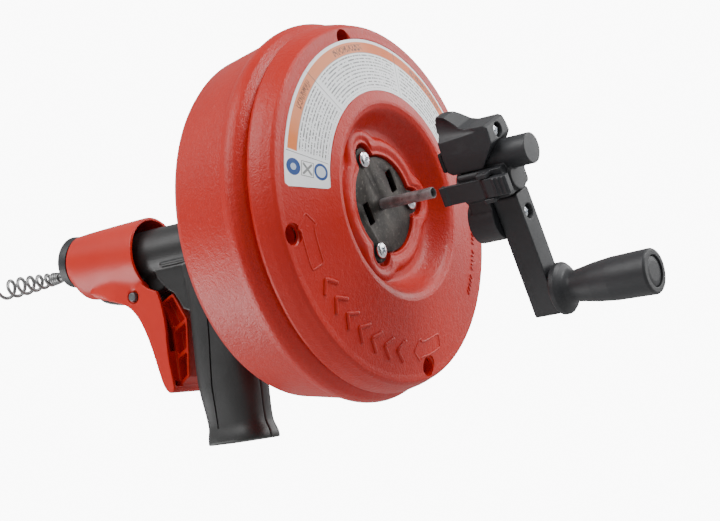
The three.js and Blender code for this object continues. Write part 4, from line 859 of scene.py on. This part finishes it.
for i, zc in enumerate(PRONG_Z):
    sd = 1 if i == 0 else -1; nm = ("far", "near")[i]
    la = uni(bx(-6.8, 26, *yy(sd, 16.2, 19.2), zc - 5.7, zc + 5.7), bx(-6.8, -5.1, *yy(sd, 14.9, 17), zc - 5.7, zc + 5.7), crod((LX, sd * LY, zc), -5.7, 5.7, 2.9, (0, 90, 0)),
             bx(24, 39, *yy(sd, 16.6, 21.4), zc - 5.7, zc + 5.7))
    la = uni(la, bx(-6.8, -2.8, *yy(sd, 19.0, 19.9), zc - 5.7, zc + 5.7))
    for x0 in (30, 33, 36): la = uni(la, bx(x0, x0 + 1.4, *yy(sd, 20, 22.2), zc - 5, zc + 5))
    la = cut(la, crod((LX, sd * LY, zc), -12, 12, 1.6, (0, 90, 0)), crod((31, 0, min(zc, 5.5)), 12, 18.2, 2.5, (0, 0, sd * 90)))
    soften(la, 0.34, 2); C(la); la.name = f"latch_{nm}_piece"
    piece(la, f"latch_{nm}", BLACK, "black_plastic", f"crank_latch_{nm}")
    lp = lathe("latch_pin", fillet([(-8.7, 0), (-8.7, 1.3), (8.7, 1.3), (8.7, 0)], [0, 0.3, 0.3, 0], 3), 32, (0, 0, 0), False); smooth(lp, 40)
    place(lp, (LX, sd * LY, zc), (0, 90, 0)); C(lp); lp.name = f"latch_pin_{nm}_piece"; piece(lp, "crank", STEEL, "shaft_steel", f"latch_pin_{nm}")
    ls = coil(f"latch_spring_{nm}_piece", 10.6, 17.1, 1.7, 0.32, 6.5, 8, 24); place(ls, (31, 0, min(zc, 5.5)), (0, 0, sd * 90)); C(ls); piece(ls, "crank", STEEL, "shaft_steel", f"latch_spring_{nm}")
arm = uni(along(rrect(-8, 8, -CRAD - 13, -10, 2), 17.7, 34), crod((0, 0, -CRAD), 33, 35.4, 9))
arm = cut(arm, crod((0, 0, -CRAD), 10, 60, 3.3), crod((0, 0, -CRAD), 10, 26, 6.2), crod((0, 0, -23.5), 10, 60, 2.1), crod((0, 0, -23.5), 29.7, 60, 4.4))
soften(arm, 0.42, 3); C(arm); arm.name = "crank_arm_piece"; piece(arm, "crank", BLACK, "black_plastic", "crank_arm")
s_ = screw("arm_screw_piece", 30.0, 4, 2.4, 1.5, 16); place(s_, (0, 0, -23.5)); C(s_); piece(s_, "crank", ZINC, "zinc_steel", "arm_screw")
kn = lathe("knob", fillet([(35.8, 3.4), (35.8, 15.0), (36.6, 15.6), (39.4, 15.6), (41.2, 14.0), (43, 10.6), (46, 9.3), (52, 10.2), (60, 11.6), (72, 12.9),
     (97, 13.6), (98.4, 12.8), (98.4, 9.4), (90.6, 9.4), (90.6, 3.4)], [0, 0.4, 0.6, 1.2, 1.2, 2.5, 4, 5, 6, 8, 1.0, 1.0, 0.4, 0.2, 0], 6), 128)
smooth(kn, 40); place(kn, (0, 0, -CRAD)); C(kn); kn.name = "knob_piece"; piece(kn, "knob", BLACK, "black_plastic", "crank_knob")
cap = lathe("cap", fillet([(94.6, 0), (94.6, 9.05), (97.3, 9.05), (97.8, 6), (97.8, 0)], [0, 0.2, 0.5, 1, 0], 5), 96, (0, 0, 0), False)
smooth(cap, 40); place(cap, (0, 0, -CRAD)); C(cap); cap.name = "knob_cap_piece"; piece(cap, "knob", BLACK, "black_plastic", "knob_cap")

# ------------------------------------------------------------------ finishes of the nodes kept from the model
keep = {"cable_coil": WIRE, "inner_guide_tube": STEEL, "bearing_bush": ACETAL, "neck_tube": STEEL, "retaining_washer": ZINC, "retaining_nut": ZINC,
        "roller_carrier": BLACK, "lower_roller_left": ACETAL, "lower_roller_right": ACETAL, "upper_roller": ACETAL, "lower_roller_pin_left": STEEL,
        "lower_roller_pin_right": STEEL, "upper_roller_pin": STEEL, "knob_spindle": STEEL, "knob_washer": ZINC}
for nm, mt in keep.items():
    ob = N[nm]
    for s_ in ob.material_slots: s_.material = mt

# ------------------------------------------------------------------ stage
def floor():
    me = bpy.data.meshes.new("floor"); R, n = 2.6, 30; z = -0.62
    me.from_pydata([(-R + 2 * R * i / n, -R + 2 * R * j / n, z) for i in range(n + 1) for j in range(n + 1)], [],
                   [(i * (n + 1) + j, (i + 1) * (n + 1) + j, (i + 1) * (n + 1) + j + 1, i * (n + 1) + j + 1) for i in range(n) for j in range(n)])
    ob = bpy.data.objects.new("floor", me); scene.collection.objects.link(ob)
    mt, nt, b = node_mat("floor_mat"); k = K(nt)
    k.link(k.ramp(k.noise(3, 3), [(0.3, (0.44, 0.44, 0.44)), (0.7, (0.48, 0.48, 0.48))]), b.inputs["Base Color"]); b.inputs["Roughness"].default_value = 0.9
    b.inputs["Specular IOR Level"].default_value = 0.1
    ob.data.materials.append(mt)
floor()
w = bpy.data.worlds.new("world"); scene.world = w; w.use_nodes = True
wt = w.node_tree; bg = wt.nodes["Background"]; bg.inputs[0].default_value = (1, 1, 1, 1)
kw_ = K(wt)
def facing(x, y, z, a, b, lo, hi):
    """Brightness that rises smoothly towards one direction of the sky."""
    d = kw_.n("VectorMath", operation="DOT_PRODUCT"); kw_.link(kw_.tc.outputs["Generated"], d.inputs[0])
    d.inputs[1].default_value = (x, y, z)
    return kw_.rng(d.outputs["Value"], a, b, lo, hi)
sky = kw_.math("ADD", facing(0, 0, 1, -0.20, 0.10, 0.20, 0.52), facing(0.36, 0.92, 0.16, 0.55, 0.95, 0.0, 0.40))
kw_.link(sky, bg.inputs[1])
seen = wt.nodes.new("ShaderNodeBackground"); seen.inputs[0].default_value = (1, 1, 1, 1); seen.inputs[1].default_value = 10.0
lp = wt.nodes.new("ShaderNodeLightPath"); mx = wt.nodes.new("ShaderNodeMixShader")
wt.links.new(lp.outputs["Is Camera Ray"], mx.inputs[0]); wt.links.new(bg.outputs[0], mx.inputs[1]); wt.links.new(seen.outputs[0], mx.inputs[2])
wt.links.new(mx.outputs[0], wt.nodes["World Output"].inputs[0])
def area(name, loc, target, size, power, color=(1, 1, 1), size_y=None):
    ld = bpy.data.lights.new(name, "AREA"); ld.energy = power; ld.color = color; ld.size = size
    if size_y: ld.shape = "RECTANGLE"; ld.size_y = size_y
    ob = bpy.data.objects.new(name, ld); scene.collection.objects.link(ob)
    ob.location = loc; ob.rotation_euler = (Vector(target) - Vector(loc)).to_track_quat("-Z", "Y").to_euler()
    return ob
area("key", (-0.85, -1.15, 1.2), (-0.02, 0, 0), 1.1, 19.5)
area("back_right", (1.35, 1.95, 0.82), (0, 0, 0), 2.4, 27, size_y=1.1)
area("front", (1.2, 0.35, 1.5), (0, 0, 0), 0.9, 32)
area("strip", (-0.2, -1.25, 1.3), (0, 0, 0), 0.26, 9, size_y=1.0)
area("low_left", (-0.85, -0.34, -0.47), (-0.05, 0, 0), 0.6, 7.4)
